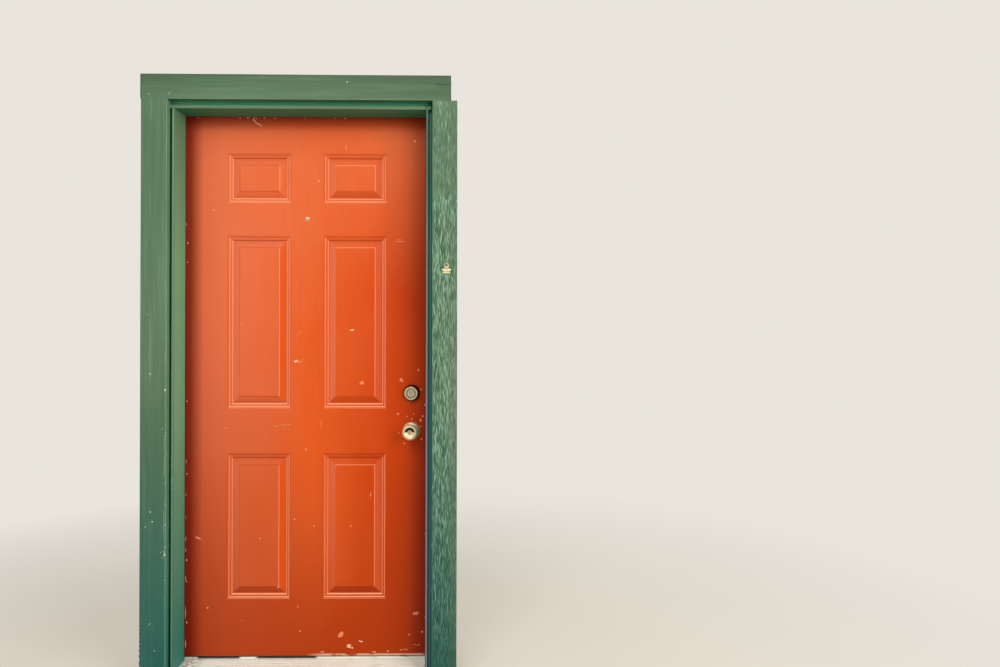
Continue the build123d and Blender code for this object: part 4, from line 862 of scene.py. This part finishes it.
def pickEdges(piece, test):  # in edit mode, selects the edges whose two ends pass a test
    bpy.ops.mesh.select_mode(type="EDGE")
    bpy.ops.mesh.select_all(action="DESELECT")
    mesh = bmesh.from_edit_mesh(piece.data)
    for edge in mesh.edges:
        edge.select_set(test(edge.verts[0].co, edge.verts[1].co))
    bmesh.update_edit_mesh(piece.data)


def cutAlong(piece, axis, cuts):  # splits every edge that runs along one axis
    pickEdges(piece, lambda a, b: abs(a[axis] - b[axis]) > 0.999 * (a - b).length)
    bpy.ops.mesh.subdivide(number_cuts=cuts)


def boardBlank(board):  # a planed board with eased street corners, cut into a grid; open at the back
    low, high = (Vector(corner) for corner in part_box(board["node"]))
    along, across = board["along"], 2 - board["along"]
    bpy.ops.object.select_all(action="DESELECT")
    bpy.ops.mesh.primitive_cube_add(size=1, location=(low + high) / 2)
    bpy.ops.transform.resize(value=high - low)
    bpy.ops.object.transform_apply(location=True, rotation=True, scale=True)
    piece = bpy.context.active_object
    piece.name = piece.data.name = "painted_" + board["node"]
    bpy.ops.object.mode_set(mode="EDIT")
    pickEdges(piece, lambda a, b: a.y + b.y > 2 * high.y - 0.001)
    bpy.ops.mesh.delete(type="ONLY_FACE")
    pickEdges(piece, lambda a, b: a.y + b.y < 2 * low.y + 0.001 and abs(a[across] - b[across]) < 1e-5)
    bpy.ops.mesh.bevel(offset=board["ease"] / 1000, segments=3)
    for cuts in board["alongCuts"]:
        cutAlong(piece, along, cuts)
    cutAlong(piece, across, board["acrossCuts"])
    cutAlong(piece, 1, 3)
    bpy.ops.mesh.select_non_manifold(extend=False)
    bpy.ops.mesh.edge_face_add()
    bpy.ops.mesh.select_all(action="SELECT")
    bpy.ops.mesh.normals_make_consistent(inside=False)
    bpy.ops.object.mode_set(mode="OBJECT")
    return piece


def paintedBoard(board):  # the blank with its fibres raised, standing in for the plain board
    piece = boardBlank(board)
    data = piece.data
    low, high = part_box(board["node"])
    along, across = board["along"], 2 - board["along"]
    left = low[across]
    fibreRelief = data.attributes.new("fibreRelief", "FLOAT", "POINT")
    span = 1.1 * (board["fibreDepth"] + board["fineDepth"])
    sunk = board["fibreDepth"] * 0.35  # how far the grain is let into the board
    moved = []
    for vert in data.vertices:
        place, outward = vert.co.copy(), vert.normal.copy()
        around = place[across] + place.y - low.y
        height = fibreHeight(board, around * 1000, place[along] * 1000)
        if board["smoothEdge"]:
            calm = min(1.0, 0.25 + max(0.0, (place[across] - left) * 1000 / board["smoothEdge"]))
            height *= calm * (1.0 if place.z < board["smoothTop"] else 0.55)
            (x0, z0), (x1, z1) = board["pressedFrom"], board["pressedTo"]
            if x0 < place.x < x1 and z0 < place.z < z1:  # the clip keeps the fibres down
                height = min(height, sunk)
        shown = height
        if board is leftBoard:
            swirl = swirlHeight(place.x, place.z)
            height += swirl
            shown = 0.4 * height + 1.1 * swirl
        fibreRelief.data[vert.index].value = min(1.0, max(0.0, 0.5 + shown / span))
        if place.y < high.y - 0.0001:
            place += outward * (height - sunk) / 1000
        moved.append(place)
    data.vertices.foreach_set("co", [value for place in moved for value in place])
    data.update()
    bpy.ops.object.shade_smooth_by_angle(angle=math.radians(50))
    return dressPiece(piece, board["finish"], "frame", board["node"])


def dressPiece(piece, finish, body, stands=None):  # gives a piece its finish, its body and its place
    piece.data.materials.clear()
    piece.data.materials.append(finishes[finish])
    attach(piece, body)
    if stands:
        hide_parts(stands)
    return piece


painted = {board["node"]: paintedBoard(board) for board in (rightBoard, leftBoard, topBoard)}
print("stage: casing boards made")


# Chips, rubs and scratches, each a ragged flake laid on the surface that carries it


def addMark(mark, front, ragged, seed):  # x, z, width and height in mm, and a turn in degrees
    x, z, width, height, turn = mark
    place = (x / 1000, front, z / 1000)
    upright = (math.pi / 2, 0, 0)
    radius = 0.0005  # a disc of 1 mm, so that the sizes in mm stretch it
    bpy.ops.mesh.primitive_circle_add(
        vertices=18, radius=radius, fill_type="TRIFAN", location=place, rotation=upright
    )
    bpy.ops.transform.vertex_random(offset=ragged * radius, uniform=1.0, seed=seed)
    bpy.ops.mesh.vertices_smooth(factor=0.35)
    bpy.ops.transform.resize(value=(width, 1, height), center_override=place)
    bpy.ops.transform.rotate(value=math.radians(turn), orient_axis="Y", center_override=place)


def markPiece(name, target, markList, finish, body, lift, ragged):
    # one piece of many flakes, laid in front of a surface and then pressed back on it
    bpy.ops.object.select_all(action="DESELECT")
    bpy.ops.object.add(type="MESH")
    piece = bpy.context.active_object
    piece.name = piece.data.name = name
    front = min(v.co.y for v in target.data.vertices) - 0.01
    bpy.ops.object.mode_set(mode="EDIT")
    for seed, mark in enumerate(markList):
        addMark(mark, front, ragged, seed)
    bpy.ops.mesh.select_all(action="SELECT")
    bpy.ops.mesh.subdivide(number_cuts=1)
    bpy.ops.object.mode_set(mode="OBJECT")
    wrap = piece.modifiers.new("laid_on", "SHRINKWRAP")
    wrap.target = target
    wrap.wrap_method = "PROJECT"
    wrap.use_project_y = True
    wrap.use_positive_direction = True
    wrap.offset = lift / 1000
    bpy.ops.object.modifier_apply(modifier="laid_on")
    missed = sum(1 for v in piece.data.vertices if v.co.y < front + 0.002)
    print("marks:", name, len(markList), "flakes, points off the surface:", missed)
    return dressPiece(piece, finish, body)


doorMarks = {  # finish, lift in mm, raggedness, then x, z, width, height in mm and a turn in degrees
    "paint_chips": ("chip", 0.12, 0.45, [
        (42, 1802, 5, 5, 0), (-346, 1693, 4, 4, 0), (397, 1953, 4, 11, 0), (-244, 1271, 5, 4, 20),
        (-43, 1133, 13, 8, 10), (-37, 1137, 6, 6, 0), (166, 1250, 16, 6, 5), (439, 974, 12, 7, 60),
        (388, 920, 5, 5, 0), (-45, 548, 6, 5, 30), (-172, 477, 4, 4, 0), (-105, 297, 7, 5, 0),
        (-364, 222, 7, 6, 0), (-238, 175, 4, 4, 0), (-32, 225, 4, 7, 0), (-24, 136, 6, 6, 0),
        (158, 80, 20, 14, -25), (170, 72, 7, 8, 0),
        (202, 96, 20, 5, -12), (428, 131, 6, 6, 0), (379, 120, 6, 5, 0), (350, 64, 9, 4, 0),
        (439, 494, 5, 6, 0), (439, 187, 5, 6, 0), (422, 894, 4, 6, 0), (412, 1102, 6, 5, 20),
        (439, 600, 4, 5, 0), (-300, 887, 4, 4, 0), (236, 639, 4, 5, 0), (60, 58, 14, 4, 0),
        (250, 57, 18, 4, 0), (300, 60, 9, 4, 0), (395, 940, 4, 4, 0), (-441, 1571, 4, 8, 0),
        (-442, 1500, 3, 6, 0), (-442, 986, 4, 7, 0), (-441, 717, 4, 6, 0), (-442, 399, 4, 9, 0),
        (-441, 318, 3, 5, 0), (-441, 169, 5, 8, 0), (-405, 2035, 6, 3, 0), (-250, 2034, 5, 3, 0),
        (-221, 2036, 9, 3, 8), (-190, 2034, 6, 3, 0), (-160, 2036, 7, 3, -6), (-121, 2035, 5, 3, 0),
        (-10, 2034, 5, 3, 0), (101, 2036, 5, 3, 0), (138, 2035, 7, 3, 0), (-446, 1640, 3, 6, 0),
        (-445, 205, 2.4, 42, 0), (-445, 330, 2.2, 26, 0), (-445, 436, 2.6, 14, 0), (-445, 478, 2, 22, 0),
        (-445, 88, 2.6, 34, 0), (-445, 640, 2, 12, 0), (-445, 762, 2, 17, 0), (-445, 556, 2, 9, 0),
    ]),
    "paint_rubs": ("rubbed", 0.08, 0.3, [
        (202, 1054, 18, 14, 30), (404, 199, 28, 12, 10), (349, 1065, 20, 11, -40), (336, 939, 11, 9, 0),
        (-3, 807, 12, 9, 0), (163, 524, 5, 10, 0), (27, 524, 5, 10, 0), (-400, 480, 26, 9, -20),
        (420, 915, 9, 14, 10), (428, 930, 7, 10, 0), (360, 830, 10, 6, -30), (424, 846, 8, 10, 20),
        (370, 930, 7, 6, 0), (340, 868, 6, 9, 0), (422, 1030, 9, 6, 0), (341, 1579, 56, 2.6, 0),
        (341, 1586, 22, 2, -10), (142, 1927, 3.4, 27, 2), (-34, 1232, 3, 13, -35), (-24, 1241, 13, 3, 15),
        (-111, 893, 24, 3, 20), (-88, 898, 26, 3, 6), (-67, 899, 22, 3, -4), (52, 898, 2.6, 44, 0),
        (-27, 1132, 20, 6, 4), (-18, 1141, 3, 9, -20),
        (127, 122, 19, 30, -40), (366, 66, 20, 5, -8), (403, 83, 13, 3.2, -30), (415, 83, 13, 3.2, 30),
        (236, 639, 2.2, 34, 0),
    ]),
    "caught_fibre": ("flake", 0.3, 0.2, [
        (-200, 2031, 3, 14, -20), (-193, 2021, 3, 16, 35), (-183, 2013, 2.4, 17, 60),
        (-173, 2007, 2.4, 12, 50),
    ]),
}
for name, (finish, lift, ragged, markList) in doorMarks.items():
    markPiece(name, nodes["outer_skin"], markList, finish, "door", lift, ragged)

casingMarks = {  # the same, after the casing that carries them
    "head_flakes": ("head_casing", "flake", 0.12, 0.45, [(171, 2127, 5, 4, 0)]),
    "head_dents": ("head_casing", "run", 0.10, 0.45, [(-453, 2083, 12, 7, 30), (-525, 2079, 8, 7, 0)]),
    "head_cracks": ("head_casing", "crack", 0.12, 0.45, [
        (491, 2120, 10, 8, 0), (503, 2120, 24, 3.2, 4), (519, 2120, 22, 3, -4), (532, 2120, 12, 2.6, 3),
        (-451, 2083, 10, 2.2, 35),
    ]),
    "left_flakes": ("hinge_side_casing", "flake", 0.12, 0.45, [
        (-518, 1093, 4, 7, 0), (-466, 1037, 5, 8, 0), (-516, 608, 4, 7, 0), (-509, 573, 5, 6, 0),
        (-533, 555, 4, 4, 0), (-466, 457, 6, 7, 0), (-468, 452, 4, 4, 0), (-467, 463, 4, 5, 0),
        (-470, 470, 3, 4, 0), (-480, 465, 3, 3, 0), (-475, 445, 3, 3, 0), (-517, 214, 4, 4, 0),
        (-500, 120, 5, 4, 0), (-476, 900, 3, 3, 0), (-528, 1302, 3, 4, 0),
    ]),
    "left_cracks": ("hinge_side_casing", "crack", 0.12, 0.45, [(-497, 158, 1.6, 150, 0)]),
    "left_runs": ("hinge_side_casing", "run", 0.10, 0.2, [
        (-468, 845, 2.2, 70, 1), (-468, 765, 2.6, 90, -1), (-469, 570, 2, 120, 0),
    ]),
    "clip_stain": ("strike_side_casing", "stain", 0.10, 0.45, [
        (525, 1440, 12, 16, 0), (527, 1430, 7, 18, 8),
    ]),
}
for name, (board, finish, lift, ragged, markList) in casingMarks.items():
    markPiece(name, painted[board], markList, finish, "frame", lift, ragged)
print("stage: marks placed")


# Camera, light and floor


cameraFit = {  # where the photograph was taken from, and its small tilts in radians
    "place": (0.6837, -2.3849, 1.2312),
    "lens": 24.0,
    "yaw": -0.0125,
    "pitch": 0.0028,
    "roll": 0.0019,
}


def addCamera():
    yaw, pitch, roll = cameraFit["yaw"], cameraFit["pitch"], cameraFit["roll"]
    flat = math.cos(pitch)
    forward = Vector((-math.sin(yaw) * flat, math.cos(yaw) * flat, math.sin(pitch)))
    level = Vector((math.cos(yaw), math.sin(yaw), 0))
    upright = level.cross(forward)
    right = level * math.cos(roll) + upright * math.sin(roll)
    up = upright * math.cos(roll) - level * math.sin(roll)
    data = bpy.data.cameras.new("photo_camera")
    data.lens = cameraFit["lens"]
    data.sensor_width = 36.0
    camera = bpy.data.objects.new("photo_camera", data)
    turn = Matrix((right, up, -forward)).transposed().to_4x4()
    camera.matrix_world = Matrix.Translation(cameraFit["place"]) @ turn
    bpy.context.scene.collection.objects.link(camera)
    bpy.context.scene.camera = camera


lamps = {  # name: place, aimed at, size in metres, power in watts, colour
    "sky_panel": ((-0.7, -4.0, 4.4), (-0.05, 0, 1.3), 2.6, 90, "#FFF8EE"),
    "right_panel": ((3.6, -2.9, 2.3), (0, 0, 1.1), 2.4, 112, "#FFFBF4"),
    "left_card": ((-1.7, -1.5, 1.3), (-0.1, 0.1, 1.1), 1.6, 9, "#FFF4F0"),
    "back_fill": ((0.8, 4.4, 3.2), (0, 0, 1.0), 3.0, 84, "#FFFFFF"),
}


def addLamps():
    for name, (place, target, size, power, colour) in lamps.items():
        data = bpy.data.lights.new(name, "AREA")
        data.size = size
        data.energy = power
        data.color = linearColour(colour)[:3]
        lamp = bpy.data.objects.new(name, data)
        lamp.location = place
        lamp.rotation_euler = (Vector(target) - Vector(place)).to_track_quat("-Z", "Y").to_euler()
        bpy.context.scene.collection.objects.link(lamp)


roomFinish = {  # the room's fill on the object, then the floor: tones, and metres where it fades
    "fill": "#EDE9E1",
    "fillStrength": 0.40,
    "near": "#EAE5DC",
    "far": "#E9E5DC",
    "fadeStart": 1.1,
    "fadeEnd": 3.2,
    "size": 40.0,
}


def addWorld():
    # a plain pale room seen by the camera, in metal and through glass; a softer fill elsewhere
    finish = roomFinish
    world = bpy.data.worlds.new("pale_room")
    bpy.context.scene.world = world
    world.use_nodes = True
    tree = world.node_tree
    tree.nodes.clear()
    path = addNode(tree, "LightPath").outputs
    shown = path["Is Camera Ray"]
    for kind in ("Is Glossy Ray", "Is Transmission Ray"):
        links = {0: shown, 1: path[kind]}
        shown = addNode(tree, "Math", {"operation": "MAXIMUM"}, links=links).outputs[0]
    fill = {"Color": linearColour(finish["fill"]), "Strength": finish["fillStrength"]}
    room = addNode(tree, "Background", values=fill)
    seen = addNode(tree, "Background", values={"Color": linearColour(finish["far"]), "Strength": 1.0})
    mix = addNode(tree, "MixShader", links={0: shown, 1: room.outputs[0], 2: seen.outputs[0]})
    addNode(tree, "OutputWorld", links={"Surface": mix.outputs[0]})


def addFloor():  # matt near the object, where its shadow lies, and one with the room further off
    finish = roomFinish
    bpy.ops.object.select_all(action="DESELECT")
    bpy.ops.mesh.primitive_plane_add(size=finish["size"])
    floor = bpy.context.active_object
    floor.name = floor.data.name = "floor"
    material, shader, place = startMaterial("plain_matt_floor", Roughness=0.9)
    cloud = patches(place, 400, 0.3, 0.7)
    finishSurface(shader, blendColour(cloud, finish["near"], finish["far"], 0.5))
    tree = material.node_tree
    away = addNode(tree, "VectorMath", {"operation": "LENGTH"}, links={0: place}).outputs["Value"]
    fade = ramp(away, finish["fadeStart"], finish["fadeEnd"])
    seen = overlap(fade, addNode(tree, "LightPath").outputs["Is Camera Ray"])
    glow = addNode(tree, "Emission", values={"Color": linearColour(finish["far"]), "Strength": 1.0})
    links = {0: seen, 1: shader.outputs[0], 2: glow.outputs[0]}
    mix = addNode(tree, "MixShader", links=links)
    tree.links.new(mix.outputs[0], tree.nodes["Material Output"].inputs["Surface"])
    floor.data.materials.append(material)


addCamera()
addLamps()
addWorld()
addFloor()
bpy.context.scene.view_settings.view_transform = "Standard"
print("stage: camera, lamps and floor set")
